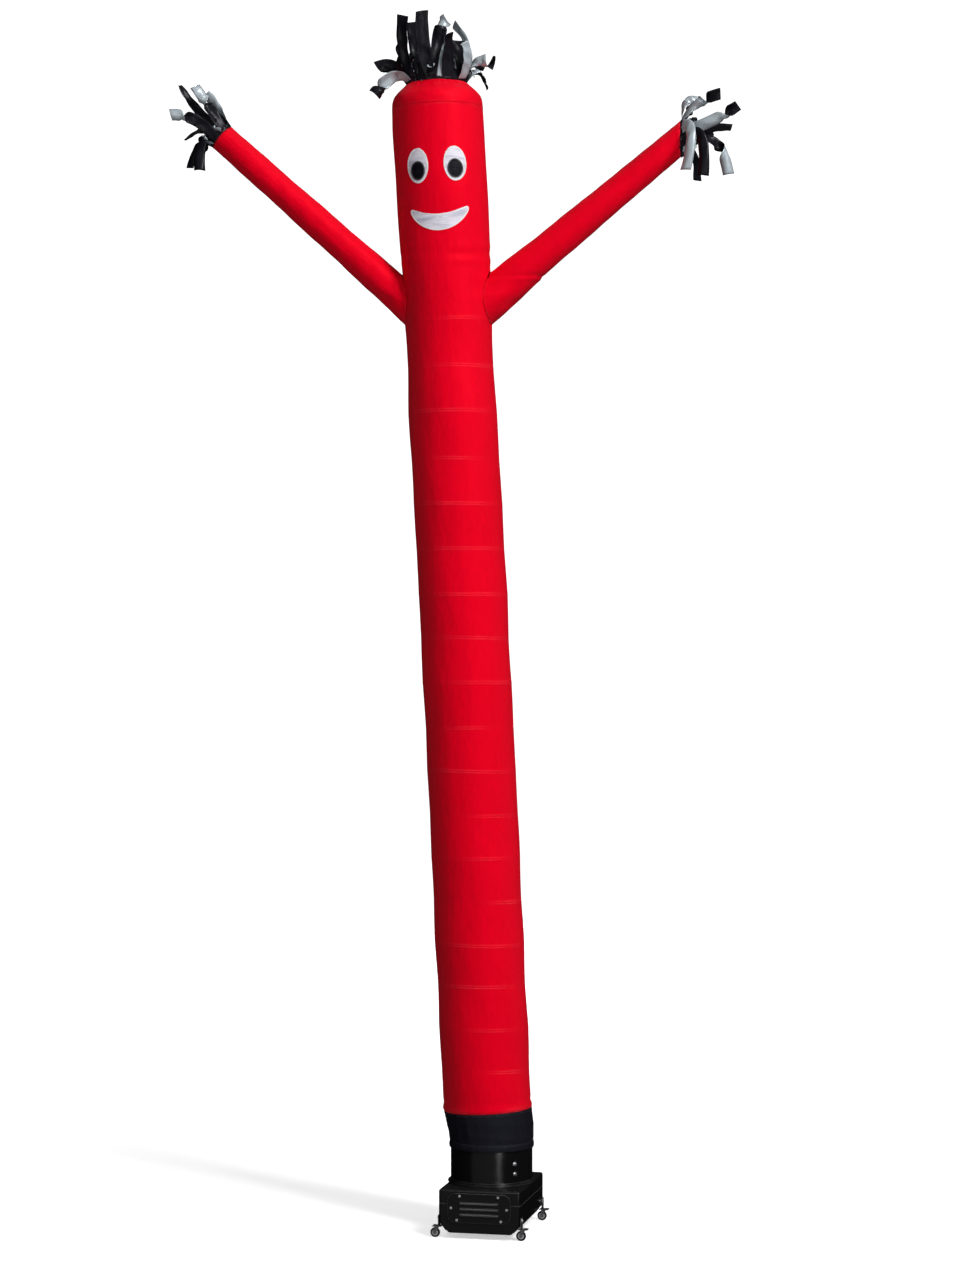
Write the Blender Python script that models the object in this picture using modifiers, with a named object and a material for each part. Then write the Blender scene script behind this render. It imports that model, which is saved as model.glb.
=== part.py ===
"""Inflatable air dancer standing on its blower.

Metres, +Z up. The origin is on the floor, under the middle of the whole figure. The blower is
square to the axes, with its front towards -Y. The cloth figure leans to its own side, and its
face is turned a little from the blower's front towards +X.
"""

import bmesh
import bpy
import numpy as np
from math import atan, cos, pi, radians, sin, tan
from mathutils import Matrix, Vector

# Gap between pieces that touch, and cloth thicknesses
SEAT = 0.0003
CLOTH = 0.0025
APPLIQUE = 0.0012
RIBBON = 0.0015

# Place of the blower under the figure, and turn of the figure on it
BASE_X = 0.180
FIGURE_TURN = radians(7.0)

# Figure: sides of every round cloth piece, and heights of its seams
SIDES = 32
CUFF_BOTTOM = 0.430
CUFF_RINGS = (0.500, 0.560, 0.606)
CUFF_SEAM = 0.624
CAP_SEAM = 5.800

# Half the stretch over which the spine's lean is measured
SPINE_STEP = 0.04

# Spine of the figure: height, sideways offset from the blower's middle, radius
SPINE = (
    (0.430, 0.000, 0.2158),
    (0.500, 0.000, 0.2158),
    (0.560, -0.008, 0.2225),
    (0.606, -0.018, 0.2280),
    (0.624, -0.022, 0.2280),
    (1.500, -0.063, 0.2290),
    (2.500, -0.110, 0.2290),
    (3.500, -0.161, 0.2290),
    (4.300, -0.206, 0.2285),
    (4.600, -0.221, 0.2205),
    (4.830, -0.231, 0.2235),
    (5.050, -0.240, 0.2320),
    (5.350, -0.257, 0.2380),
    (5.700, -0.277, 0.2380),
    (5.800, -0.283, 0.2360),
)

# Packing creases below the arms, which fold out and in by turns
CREASES = 18
LOWEST_CREASE_GAP = 0.2141
HIGHEST_CREASE_GAP = 0.2386
CREASE_DEPTH = 0.0020

# Rings of the body above the last crease: height, pinch of the wrinkles there
SHOULDER_RINGS = (
    (4.830, 0.000),
    (4.950, 0.000),
    (5.000, 0.003),
    (5.035, -0.003),
    (5.070, 0.002),
    (5.200, 0.000),
    (5.350, 0.000),
    (5.500, 0.000),
    (5.700, 0.000),
    (5.800, 0.000),
)

# Hem of the cuff, a soft bead round the collar
HEM_HEIGHT = 0.032
HEM_ROUND = 0.006
HEM_PUFF = 0.0030

# Cap on the head: height over the seam, radius
CAP_PROFILE = (
    (0.000, 0.2360),
    (0.035, 0.2345),
    (0.064, 0.2260),
    (0.088, 0.2070),
    (0.112, 0.1800),
    (0.132, 0.1580),
)

# Arms: side, root and hand middles (sideways, height), root and hand radius, slant of the hand's edge
ARMS = {
    "left": {
        "root": (-0.454, 4.817),
        "hand": (-1.412, 5.675),
        "root_radius": 0.0945,
        "hand_radius": 0.0722,
        "slant": radians(0.0),
    },
    "right": {
        "root": (-0.003, 4.827),
        "hand": (0.976, 5.630),
        "root_radius": 0.1060,
        "hand_radius": 0.0722,
        "slant": radians(39.0),
    },
}
ARM_SIDES = 20
ARM_TUCK = 0.15
# Stations along an arm: share of its length, share of the taper done there, pinch of its creases
ARM_STATIONS = (
    (0.00, 0.00, 0.000),
    (0.07, 0.16, -0.003),
    (0.14, 0.28, 0.001),
    (0.30, 0.50, -0.001),
    (0.50, 0.68, 0.001),
    (0.70, 0.82, -0.001),
    (0.86, 0.92, 0.001),
    (1.00, 1.00, 0.000),
)

# Face, as seen along the face's own direction, from the head's axis at FACE_HEIGHT
NECK = 5.030
FACE_HEIGHT = 5.483
EYE_X = 0.0949
EYE_HALF = (0.0552, 0.0890)
PUPIL_DROP = 0.0255
PUPIL_HALF = (0.0375, 0.0490)
MOUTH_HALF_WIDTH = 0.158
MOUTH_CORNER = -0.206
MOUTH_UPPER_SAG = 0.048
MOUTH_LOWER_SAG = 0.132
MOUTH_STEPS = 9
FACE_STEPS = 28
FACE_START = 0.05
FACE_REACH = 0.30

# Streamers: a sewn band round each opening, with cut strips fused to it
BAND_HEIGHT = 0.020
HAND_BAND_GAP = 0.0009
HAIR_WIDTH = 0.055
HAND_STRIP_WIDTH = 0.050
STRIP_STEPS = 9
DRAWN_IN = 0.55
DRAWN_LENGTH = 0.25

# Hair: place round the opening (0 at the face, 90 on the right in front view), knee and tip
# from the root (sideways, backwards, up), twist
HAIR = (
    (-108, (-0.050, 0.050, 0.165), (-0.012, 0.110, 0.265), 65),
    (-80, (-0.060, 0.000, 0.080), (-0.150, -0.020, 0.082), 80),
    (-60, (-0.078, -0.030, 0.016), (-0.172, -0.060, -0.080), 75),
    (-45, (-0.046, -0.040, 0.145), (-0.044, -0.075, 0.318), -15),
    (-24, (-0.030, 0.010, 0.160), (-0.045, 0.020, 0.296), 25),
    (-6, (-0.030, -0.045, 0.165), (-0.032, -0.090, 0.322), 60),
    (10, (0.000, 0.000, 0.200), (0.048, -0.030, 0.290), 30),
    (27, (0.008, -0.050, 0.120), (0.022, -0.120, 0.180), 65),
    (43, (0.012, 0.014, 0.118), (0.018, 0.030, 0.198), -30),
    (62, (0.034, -0.055, 0.080), (0.026, -0.100, 0.165), 50),
    (80, (0.055, -0.010, 0.090), (0.150, -0.030, 0.080), 75),
    (100, (0.012, 0.045, 0.165), (-0.075, 0.075, 0.318), 5),
    (118, (0.065, 0.040, 0.062), (0.110, 0.045, -0.012), 5),
    (136, (0.040, 0.070, 0.090), (0.110, 0.125, 0.120), -40),
    (155, (0.020, 0.075, 0.130), (0.050, 0.140, 0.210), 40),
    (176, (-0.008, 0.060, 0.150), (-0.005, 0.095, 0.270), 30),
    (-164, (-0.025, 0.080, 0.110), (-0.060, 0.130, 0.190), 80),
    (-140, (-0.060, 0.080, 0.120), (-0.120, 0.140, 0.190), -40),
)

# Hands: place round the opening (0 at the front, 90 on the upper side), knee and tip from the
# root (sideways, backwards, up), twist
HAND_STRIPS = {
    "left": (
        (78, (-0.050, 0.010, 0.090), (-0.130, 0.020, 0.170), 45),
        (32, (-0.072, -0.040, 0.112), (-0.140, -0.065, 0.212), 10),
        (4, (-0.118, -0.012, 0.130), (-0.202, -0.020, 0.254), 70),
        (-20, (-0.100, -0.070, 0.084), (-0.218, -0.100, 0.106), 15),
        (-64, (-0.048, -0.026, 0.000), (-0.056, -0.044, -0.142), -35),
        (-104, (-0.078, 0.020, 0.010), (-0.128, 0.030, -0.105), -30),
        (-148, (-0.070, 0.070, 0.030), (-0.130, 0.125, -0.050), 30),
        (180, (-0.110, 0.055, 0.060), (-0.217, 0.075, 0.005), 60),
        (134, (-0.075, 0.070, 0.100), (-0.140, 0.115, 0.165), -40),
    ),
    "right": (
        (92, (0.018, 0.000, 0.085), (0.070, 0.000, 0.095), 60),
        (66, (0.082, -0.030, 0.080), (0.199, -0.060, 0.122), 80),
        (40, (0.050, -0.085, -0.060), (0.022, -0.095, -0.250), 25),
        (12, (0.135, -0.030, 0.040), (0.290, -0.050, 0.120), 35),
        (-16, (0.098, -0.060, 0.010), (0.112, -0.075, -0.195), 0),
        (-50, (0.120, -0.015, 0.090), (0.252, -0.010, 0.110), 30),
        (-112, (0.150, 0.040, 0.085), (0.238, 0.060, -0.095), 60),
        (-150, (0.055, 0.070, -0.010), (0.075, 0.110, -0.150), 30),
        (170, (0.090, 0.090, 0.060), (0.160, 0.150, 0.020), -40),
    ),
}

# Blower housing
HOUSING_HALF_WIDTH = 0.213
HOUSING_HALF_DEPTH = 0.300
HOUSING_BOTTOM = 0.030
HOUSING_TOP = 0.250
KEEL_HALF_WIDTH = 0.170
KEEL_HEIGHT = 0.055
HOUSING_ROUND = 0.008

# Louvred cover on the housing's front, with its screws
COVER_SIZE = (0.330, 0.150)
COVER_CORNER = 0.040
COVER_CORNER_STEPS = 4
COVER_THICKNESS = 0.008
COVER_HEIGHT = 0.160
LOUVRE_HEIGHTS = (0.127, 0.156, 0.185)
LOUVRE_SIZE = (0.200, 0.008, 0.012)
LOUVRE_TILT = radians(25.0)
SCREW_PLACES = (
    (-0.100, 0.221),
    (0.100, 0.221),
    (-0.145, 0.160),
    (0.145, 0.160),
    (-0.115, 0.099),
    (0.115, 0.099),
)
SCREW_RADIUS = 0.0065
SCREW_HEAD = 0.0040

# Outlet collar that the cuff is drawn over
COLLAR_RADIUS = 0.2125
COLLAR_WALL = 0.006
COLLAR_TOP = 0.500
FLANGE_RADIUS = 0.226
FLANGE_HEIGHT = 0.008
RIB_BOTTOM = 0.264
RIB_HEIGHT = 0.006
RIB_PROUD = 0.003
COLLAR_BOLT_FACET = -5
COLLAR_BOLT_HEIGHTS = (0.315, 0.366)
BOLT_RADIUS = 0.0065
BOLT_HEAD = 0.0050
BOLT_TOP_RADIUS = 0.0045
BOLT_EDGE = 0.0030
WASHER_RADIUS = 0.0110
WASHER_HEIGHT = 0.0015
BOLT_SIDES = 12

# Corner casters
CASTER_X = 0.224
CASTER_Y = 0.272
WHEEL_RADIUS = 0.025
WHEEL_WIDTH = 0.013
WHEEL_SIDES = 24
WHEEL_BORE = 0.0036
TRAIL = 0.012
AXLE_RADIUS = 0.0030
AXLE_HALF_LENGTH = 0.0105
BRACKET_BOTTOM = 0.058
BRACKET_THICKNESS = 0.003
BRACKET_TOP = 0.118
BRACKET_REACH = 0.024
BRACKET_WIDTH = 0.050
BRACKET_BOLT_HEIGHT = 0.102
KINGPIN_RADIUS = 0.0040
KINGPIN_HOLE = 0.0044
RIVET_RADIUS = 0.0068
RIVET_HEIGHT = 0.0025
CROWN_SIZE = (0.030, 0.021, 0.003)
CROWN_SHIFT = -0.002
LEG_INSIDE = 0.0075
LEG_THICKNESS = 0.002
# Fork leg from the side: distance from the swivel axis, height
LEG_OUTLINE = (
    (-0.0150, 0.0565),
    (-0.0180, 0.0250),
    (-0.0165, 0.0205),
    (-0.0120, 0.0185),
    (-0.0075, 0.0205),
    (0.0080, 0.0565),
)

# The figure's own directions: sideways, backwards and up
SIDEWAYS = Vector((cos(FIGURE_TURN), sin(FIGURE_TURN), 0.0))
BACKWARDS = Vector((-sin(FIGURE_TURN), cos(FIGURE_TURN), 0.0))
UP = Vector((0.0, 0.0, 1.0))
BASE = Vector((BASE_X, 0.0, 0.0))


def clear_scene():
    for old in list(bpy.data.objects):
        bpy.data.objects.remove(old)


def new_collection(name):
    collection = bpy.data.collections.new(name)
    bpy.context.scene.collection.children.link(collection)
    return collection


clear_scene()
PART = new_collection("air_dancer")
CUTTERS = new_collection("cutters")


# Materials


def material(name, colour, roughness, metallic=0.0):
    made = bpy.data.materials.new(name)
    made.use_nodes = True
    shader = made.node_tree.nodes["Principled BSDF"]
    shader.inputs["Base Color"].default_value = (*colour, 1.0)
    shader.inputs["Roughness"].default_value = roughness
    shader.inputs["Metallic"].default_value = metallic
    return made


RED_NYLON = material("red_nylon", (0.62, 0.004, 0.018), 0.55)
BLACK_NYLON = material("black_nylon", (0.018, 0.018, 0.022), 0.60)
WHITE_SATIN = material("white_satin", (0.78, 0.78, 0.80), 0.80)
BLACK_SATIN = material("black_satin", (0.015, 0.015, 0.017), 0.80)
STREAMER = material("streamer_cloth", (0.16, 0.18, 0.20), 0.35, 0.3)
BLACK_PLASTIC = material("black_plastic", (0.012, 0.012, 0.013), 0.22)
BRIGHT_STEEL = material("bright_steel", (0.70, 0.70, 0.72), 0.25, 1.0)
GREY_RUBBER = material("wheel_rubber", (0.20, 0.20, 0.21), 0.70)


# Shared modelling helpers

SHARP_ANGLE = radians(35.0)


def add_object(name, mesh, paint=None, collection=PART):
    made = bpy.data.objects.new(name, mesh)
    collection.objects.link(made)
    if collection is CUTTERS:
        made.hide_render = True
        made.display_type = "WIRE"
    if paint:
        mesh.materials.append(paint)
    return made


def mesh_from(name, bm):
    mesh = bpy.data.meshes.new(name)
    bm.to_mesh(mesh)
    bm.free()
    return mesh


def smooth(target):
    target.data.shade_smooth()
    target.data.set_sharp_from_angle(angle=SHARP_ANGLE)


def boolean(target, operation, cutter=None, group=None):
    modifier = target.modifiers.new(operation.lower(), "BOOLEAN")
    modifier.operation = operation
    modifier.solver = "EXACT"
    if group:
        modifier.operand_type = "COLLECTION"
        modifier.collection = group
    else:
        modifier.object = cutter


def solidify(target, thickness, offset=-1.0):
    modifier = target.modifiers.new("thickness", "SOLIDIFY")
    modifier.thickness = thickness
    modifier.offset = offset
    modifier.use_even_offset = True


def flat_outline(name, points, thickness, paint=None, collection=PART):
    """A flat outline in its own XY plane, thickness / 2 to each side, as a mesh object."""
    curve = bpy.data.curves.new(name, "CURVE")
    curve.dimensions = "2D"
    curve.fill_mode = "BOTH"
    curve.extrude = thickness / 2
    spline = curve.splines.new("POLY")
    spline.points.add(len(points) - 1)
    for point, (x, y) in zip(spline.points, points):
        point.co = (x, y, 0.0, 1.0)
    spline.use_cyclic_u = True
    drawn = bpy.data.objects.new(name + "_outline", curve)
    PART.objects.link(drawn)
    evaluated = drawn.evaluated_get(bpy.context.evaluated_depsgraph_get())
    mesh = bpy.data.meshes.new_from_object(evaluated)
    bpy.data.objects.remove(drawn)
    bm = bmesh.new()
    bm.from_mesh(mesh)
    bmesh.ops.remove_doubles(bm, verts=bm.verts, dist=0.00001)
    bmesh.ops.recalc_face_normals(bm, faces=bm.faces)
    bm.to_mesh(mesh)
    bm.free()
    return add_object(name, mesh, paint, collection)


def box_mesh(name, size, middle=(0.0, 0.0, 0.0)):
    bm = bmesh.new()
    bmesh.ops.create_cube(bm, size=1.0)
    bmesh.ops.scale(bm, vec=Vector(size), verts=bm.verts)
    bmesh.ops.translate(bm, vec=Vector(middle), verts=bm.verts)
    return mesh_from(name, bm)


def rod_mesh(name, radius, height, sides, middle=(0.0, 0.0, 0.0), axis="Z"):
    bm = bmesh.new()
    bmesh.ops.create_cone(
        bm,
        cap_ends=True,
        segments=sides,
        radius1=radius,
        radius2=radius,
        depth=height,
        matrix=Matrix.Rotation(pi / sides, 4, "Z"),
    )
    if axis == "Y":
        bmesh.ops.rotate(bm, matrix=Matrix.Rotation(pi / 2, 3, "X"), verts=bm.verts)
    bmesh.ops.translate(bm, vec=Vector(middle), verts=bm.verts)
    return mesh_from(name, bm)


def turned(name, profile, steps, paint):
    """A closed profile of (radius, height), down its outer side, turned round its own Z axis."""
    bm = bmesh.new()
    corners = [bm.verts.new((radius, 0.0, height)) for radius, height in profile]
    for here, there in zip(corners, corners[1:] + corners[:1]):
        bm.edges.new((here, there))
    made = add_object(name, mesh_from(name, bm), paint)
    screw = made.modifiers.new("turn", "SCREW")
    screw.steps = steps
    screw.render_steps = steps
    screw.use_merge_vertices = True
    screw.merge_threshold = 0.00001
    return made


# Rings and tubes of cloth


class Ring:
    """A round section: its middle, two directions across it, its radius, and a slant of its
    plane, along the tube for each metre along the second direction."""

    def __init__(self, middle, across, beside, radius, along=UP, slant=0.0):
        self.middle = middle
        self.across = across
        self.beside = beside
        self.radius = radius
        self.along = along
        self.slant = slant

    def point(self, angle):
        a = self.radius * cos(angle)
        b = self.radius * sin(angle)
        shift = self.slant * b
        return self.middle + a * self.across + b * self.beside + shift * self.along

    def round(self, angle):
        b = cos(angle)
        return (b * self.beside - sin(angle) * self.across + self.slant * b * self.along).normalized()

    def moved(self, distance, wider=0.0):
        return Ring(
            self.middle + distance * self.along,
            self.across,
            self.beside,
            self.radius + wider,
            self.along,
            self.slant,
        )


def tube_mesh(name, rings, sides=SIDES, closed=False):
    """An open tube of cloth through the rings, extruded from a circle, or with closed ends."""
    bm = bmesh.new()
    circle = bmesh.ops.create_circle(bm, segments=sides, radius=1.0, cap_ends=closed)["verts"]
    angles = [2 * pi * k / sides for k in range(sides)]
    loop = sorted(circle, key=lambda v: np.arctan2(v.co.y, v.co.x) % (2 * pi - 1e-6))
    for vertex, angle in zip(loop, angles):
        vertex.co = rings[0].point(angle)
    for ring in rings[1:]:
        edges = [bm.edges.get((a, b)) for a, b in zip(loop, loop[1:] + loop[:1])]
        grown = bmesh.ops.extrude_edge_only(bm, edges=edges)["geom"]
        fresh = [g for g in grown if isinstance(g, bmesh.types.BMVert)]
        above = {}
        for vertex in fresh:
            for edge in vertex.link_edges:
                below = edge.other_vert(vertex)
                if below in loop:
                    above[below] = vertex
        loop = [above[vertex] for vertex in loop]
        for vertex, angle in zip(loop, angles):
            vertex.co = ring.point(angle)
    if closed:
        bm.faces.new(loop)
    bmesh.ops.recalc_face_normals(bm, faces=bm.faces)
    return mesh_from(name, bm)


def spine(height):
    """Sideways offset and radius of the figure at a height."""
    heights, offsets, radii = zip(*SPINE)
    return np.interp(height, heights, offsets), np.interp(height, heights, radii)


def spine_ring(height, wider=0.0):
    """The figure's section at a height, square to its lean there."""
    offset, radius = spine(height)
    rise = spine(height + SPINE_STEP)[0] - spine(height - SPINE_STEP)[0]
    lean = atan(rise / (2 * SPINE_STEP))
    across = cos(lean) * SIDEWAYS - sin(lean) * UP
    along = sin(lean) * SIDEWAYS + cos(lean) * UP
    middle = BASE + float(offset) * SIDEWAYS + height * UP
    return Ring(middle, across, BACKWARDS, float(radius) + wider, along)


# The cloth figure


def crease_heights():
    """Heights of the packing creases, from the cuff's seam up, each gap a little larger."""
    gaps = np.linspace(LOWEST_CREASE_GAP, HIGHEST_CREASE_GAP, CREASES)
    return [CUFF_SEAM + float(h) for h in np.cumsum(gaps)]


def body_rings(wider=0.0):
    rings = [spine_ring(CUFF_SEAM, wider)]
    for k, height in enumerate(crease_heights()):
        fold = CREASE_DEPTH if k % 2 else -CREASE_DEPTH
        rings.append(spine_ring(height, wider + fold))
    for height, pinch in SHOULDER_RINGS:
        rings.append(spine_ring(height, wider + pinch))
    return rings


def arm_rings(arm, wider=0.0):
    """Sections of an arm from inside the body to the hand, made wider."""
    root = BASE + arm["root"][0] * SIDEWAYS + arm["root"][1] * UP
    hand = BASE + arm["hand"][0] * SIDEWAYS + arm["hand"][1] * UP
    along = (hand - root).normalized()
    upper = BACKWARDS.cross(along)
    if upper.z < 0:
        upper = -upper
    length = (hand - root).length
    front = -BACKWARDS
    rings = [Ring(root - ARM_TUCK * along, front, upper, arm["root_radius"] + wider, along)]
    for share, taper, pinch in ARM_STATIONS:
        radius = arm["root_radius"] + taper * (arm["hand_radius"] - arm["root_radius"])
        slant = tan(arm["slant"]) if share == 1.0 else 0.0
        middle = root + share * length * along
        rings.append(Ring(middle, front, upper, radius + pinch + wider, along, slant))
    return rings


def make_body():
    body = add_object("body_tube", tube_mesh("body_tube", body_rings()), RED_NYLON)
    solidify(body, CLOTH)
    for side, arm in ARMS.items():
        bore = tube_mesh(
            "arm_bore", arm_rings(arm, wider=-CLOTH)[:4], ARM_SIDES, closed=True
        )
        cutter = add_object("arm_bore_" + side, bore, None, CUTTERS)
        boolean(body, "DIFFERENCE", cutter)
    smooth(body)


def make_arms():
    envelope = tube_mesh("body_envelope", body_rings(SEAT), closed=True)
    cutter = add_object("body_envelope", envelope, None, CUTTERS)
    for side, arm in ARMS.items():
        name = "arm_" + side
        sleeve = add_object(name, tube_mesh(name, arm_rings(arm), ARM_SIDES), RED_NYLON)
        solidify(sleeve, CLOTH)
        boolean(sleeve, "DIFFERENCE", cutter)
        smooth(sleeve)


def make_cuff():
    hem_top = CUFF_BOTTOM + HEM_HEIGHT
    rings = [
        spine_ring(CUFF_BOTTOM),
        spine_ring(CUFF_BOTTOM + HEM_ROUND, HEM_PUFF),
        spine_ring(hem_top - HEM_ROUND, HEM_PUFF),
        spine_ring(hem_top),
    ]
    rings += [spine_ring(height) for height in CUFF_RINGS]
    rings.append(spine_ring(CUFF_SEAM - SEAT))
    cuff = add_object("cuff", tube_mesh("cuff", rings), BLACK_NYLON)
    solidify(cuff, CLOTH)
    smooth(cuff)


def cap_rings():
    seam = spine_ring(CAP_SEAM)
    return [
        seam.moved(SEAT + height, radius - seam.radius) for height, radius in CAP_PROFILE
    ]


def make_cap():
    cap = add_object("head_cap", tube_mesh("head_cap", cap_rings()), RED_NYLON)
    solidify(cap, CLOTH)
    smooth(cap)


# The face


def ellipse(middle, half):
    angles = [2 * pi * k / FACE_STEPS for k in range(FACE_STEPS)]
    return [(middle[0] + half[0] * cos(a), middle[1] + half[1] * sin(a)) for a in angles]


def arc_through(half_width, sag, steps):
    """Points of a round arc that hangs by sag between (-half_width, 0) and (half_width, 0)."""
    radius = (half_width**2 + sag**2) / (2 * sag)
    reach = np.arcsin(min(half_width / radius, 1.0))
    if sag > radius:
        reach = pi - reach
    return [
        (radius * sin(a), radius - sag - radius * cos(a))
        for a in np.linspace(-reach, reach, steps)
    ]


def mouth_outline():
    lower = arc_through(MOUTH_HALF_WIDTH, MOUTH_LOWER_SAG, 2 * MOUTH_STEPS)
    upper = arc_through(MOUTH_HALF_WIDTH, MOUTH_UPPER_SAG, MOUTH_STEPS)
    smile = lower + upper[-2:0:-1]
    return [(x, MOUTH_CORNER + y) for x, y in smile]


def applique(name, outline, paint, raised):
    """A flat cloth patch on the head's front: the part of a thin skin over the head, raised off
    it, that the outline covers when seen along the face's own direction."""
    skin = raised + APPLIQUE
    rings = [spine_ring(h, skin + pinch) for h, pinch in SHOULDER_RINGS if h > NECK]
    patch = add_object(name, tube_mesh(name, rings), paint)
    solidify(patch, APPLIQUE)
    ring = spine_ring(FACE_HEIGHT)
    window = flat_outline(name + "_window", outline, FACE_REACH, None, CUTTERS)
    place = Matrix((ring.across, ring.along, -BACKWARDS)).transposed().to_4x4()
    place.translation = ring.middle - (FACE_START + FACE_REACH / 2) * BACKWARDS
    window.data.transform(place)
    boolean(patch, "INTERSECT", window)
    smooth(patch)


def make_face():
    on_head = SEAT
    on_eye = 2 * SEAT + APPLIQUE
    for side, x in (("left", -EYE_X), ("right", EYE_X)):
        applique("eye_white_" + side, ellipse((x, 0.0), EYE_HALF), WHITE_SATIN, on_head)
        pupil = ellipse((x, -PUPIL_DROP), PUPIL_HALF)
        applique("pupil_" + side, pupil, BLACK_SATIN, on_eye)
    applique("mouth", mouth_outline(), WHITE_SATIN, on_head)


# The streamers


def strip_mesh(name, root, flat, knee, tip, twist, width):
    """A cut strip from its root over its knee to its tip, both measured from the root. It is
    drawn in at its sewn end, keeps its cut width from there on, and twists evenly."""
    bend = 2 * knee - tip / 2
    middles = []
    halves = []
    for step in range(STRIP_STEPS + 1):
        share = step / STRIP_STEPS
        heading = (2 * (1 - 2 * share) * bend + 2 * share * tip).normalized()
        flat = (flat - flat.dot(heading) * heading).normalized()
        spread = DRAWN_IN + (1 - DRAWN_IN) * min(share / DRAWN_LENGTH, 1.0)
        middles.append(root + 2 * share * (1 - share) * bend + share**2 * tip)
        halves.append(spread * width / 2 * (Matrix.Rotation(twist * share, 3, heading) @ flat))
    bm = bmesh.new()
    bmesh.ops.create_grid(bm, x_segments=1, y_segments=STRIP_STEPS, size=1.0)
    for vertex in bm.verts:
        step = round((vertex.co.y + 1.0) / 2 * STRIP_STEPS)
        vertex.co = middles[step] + vertex.co.x * halves[step]
    return mesh_from(name, bm)


def in_figure(offset):
    return offset[0] * SIDEWAYS + offset[1] * BACKWARDS + offset[2] * UP


def streamers(name, ring, strips, width, gap, sides):
    """A band along the ring's edge, a gap off it, with its strips fused to it."""
    band_mesh = tube_mesh(name, [ring.moved(gap), ring.moved(gap + BAND_HEIGHT)], sides)
    band = add_object(name, band_mesh, STREAMER)
    solidify(band, CLOTH)
    group = bpy.data.collections.new(name + "_strips")
    CUTTERS.children.link(group)
    roots = ring.moved(gap + BAND_HEIGHT / 2, -CLOTH / 2)
    for k, (place, knee, tip, twist) in enumerate(strips):
        label = f"{name}_strip_{k + 1}"
        root = roots.point(radians(place))
        flat = roots.round(radians(place))
        knee = in_figure(knee)
        tip = in_figure(tip)
        mesh = strip_mesh(label, root, flat, knee, tip, radians(twist), width)
        strip = bpy.data.objects.new(label, mesh)
        group.objects.link(strip)
        strip.hide_render = True
        strip.display_type = "WIRE"
        solidify(strip, RIBBON, 0.0)
    boolean(band, "UNION", group=group)


def make_streamers():
    brim = cap_rings()[-1]
    opening = Ring(brim.middle, -brim.beside, brim.across, brim.radius, brim.along)
    streamers("hair_streamers", opening, HAIR, HAIR_WIDTH, SEAT, SIDES)
    for side, arm in ARMS.items():
        hand = arm_rings(arm)[-1]
        strips = HAND_STRIPS[side]
        streamers("hand_streamers_" + side, hand, strips, HAND_STRIP_WIDTH, HAND_BAND_GAP, ARM_SIDES)


# The blower


def make_housing():
    keel_top = HOUSING_BOTTOM + KEEL_HEIGHT
    half = [
        (KEEL_HALF_WIDTH, HOUSING_BOTTOM),
        (HOUSING_HALF_WIDTH, keel_top),
        (HOUSING_HALF_WIDTH, HOUSING_TOP),
    ]
    outline = half + [(-x, z) for x, z in reversed(half)]
    housing = flat_outline("housing", outline, 2 * HOUSING_HALF_DEPTH, BLACK_PLASTIC)
    housing.data.transform(Matrix.Rotation(pi / 2, 4, "X"))
    housing.location = BASE
    bevel = housing.modifiers.new("round", "BEVEL")
    bevel.width = HOUSING_ROUND
    bevel.segments = 2
    bevel.limit_method = "ANGLE"
    smooth(housing)


def rounded_rectangle(size, corner, steps):
    points = []
    for k, (sx, sy) in enumerate(((1, 1), (-1, 1), (-1, -1), (1, -1))):
        middle = (sx * (size[0] / 2 - corner), sy * (size[1] / 2 - corner))
        for a in np.linspace(k * pi / 2, (k + 1) * pi / 2, steps + 1):
            points.append((middle[0] + corner * cos(a), middle[1] + corner * sin(a)))
    return points


def make_cover():
    front = -HOUSING_HALF_DEPTH - SEAT - COVER_THICKNESS / 2
    outline = rounded_rectangle(COVER_SIZE, COVER_CORNER, COVER_CORNER_STEPS)
    cover = flat_outline("louvre_cover", outline, COVER_THICKNESS, BLACK_PLASTIC)
    cover.data.transform(Matrix.Rotation(pi / 2, 4, "X"))
    cover.location = BASE + Vector((0.0, front, COVER_HEIGHT))
    for k, height in enumerate(LOUVRE_HEIGHTS):
        slat = box_mesh("louvre", LOUVRE_SIZE)
        cutter = add_object(f"louvre_{k + 1}", slat, None, CUTTERS)
        cutter.location = BASE + Vector((0.0, front - COVER_THICKNESS / 2, height))
        cutter.rotation_euler.x = LOUVRE_TILT
        boolean(cover, "UNION", cutter)


def make_screws():
    face = -HOUSING_HALF_DEPTH - 2 * SEAT - COVER_THICKNESS
    for k, (x, z) in enumerate(SCREW_PLACES):
        name = f"cover_screw_{k + 1}"
        mesh = rod_mesh(name, SCREW_RADIUS, SCREW_HEAD, BOLT_SIDES, axis="Y")
        screw = add_object(name, mesh, BRIGHT_STEEL)
        screw.location = BASE + Vector((x, face - SCREW_HEAD / 2, z))


def make_collar():
    foot = HOUSING_TOP + SEAT
    inside = COLLAR_RADIUS - COLLAR_WALL
    profile = (
        (inside, COLLAR_TOP),
        (COLLAR_RADIUS, COLLAR_TOP),
        (COLLAR_RADIUS, RIB_BOTTOM + RIB_HEIGHT),
        (COLLAR_RADIUS + RIB_PROUD, RIB_BOTTOM + RIB_HEIGHT / 2),
        (COLLAR_RADIUS, RIB_BOTTOM),
        (COLLAR_RADIUS, foot + FLANGE_HEIGHT),
        (FLANGE_RADIUS, foot + FLANGE_HEIGHT),
        (FLANGE_RADIUS, foot),
        (inside, foot),
    )
    collar = turned("collar", profile, SIDES, BLACK_PLASTIC)
    collar.location = BASE
    collar.rotation_euler.z = FIGURE_TURN
    smooth(collar)


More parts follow.
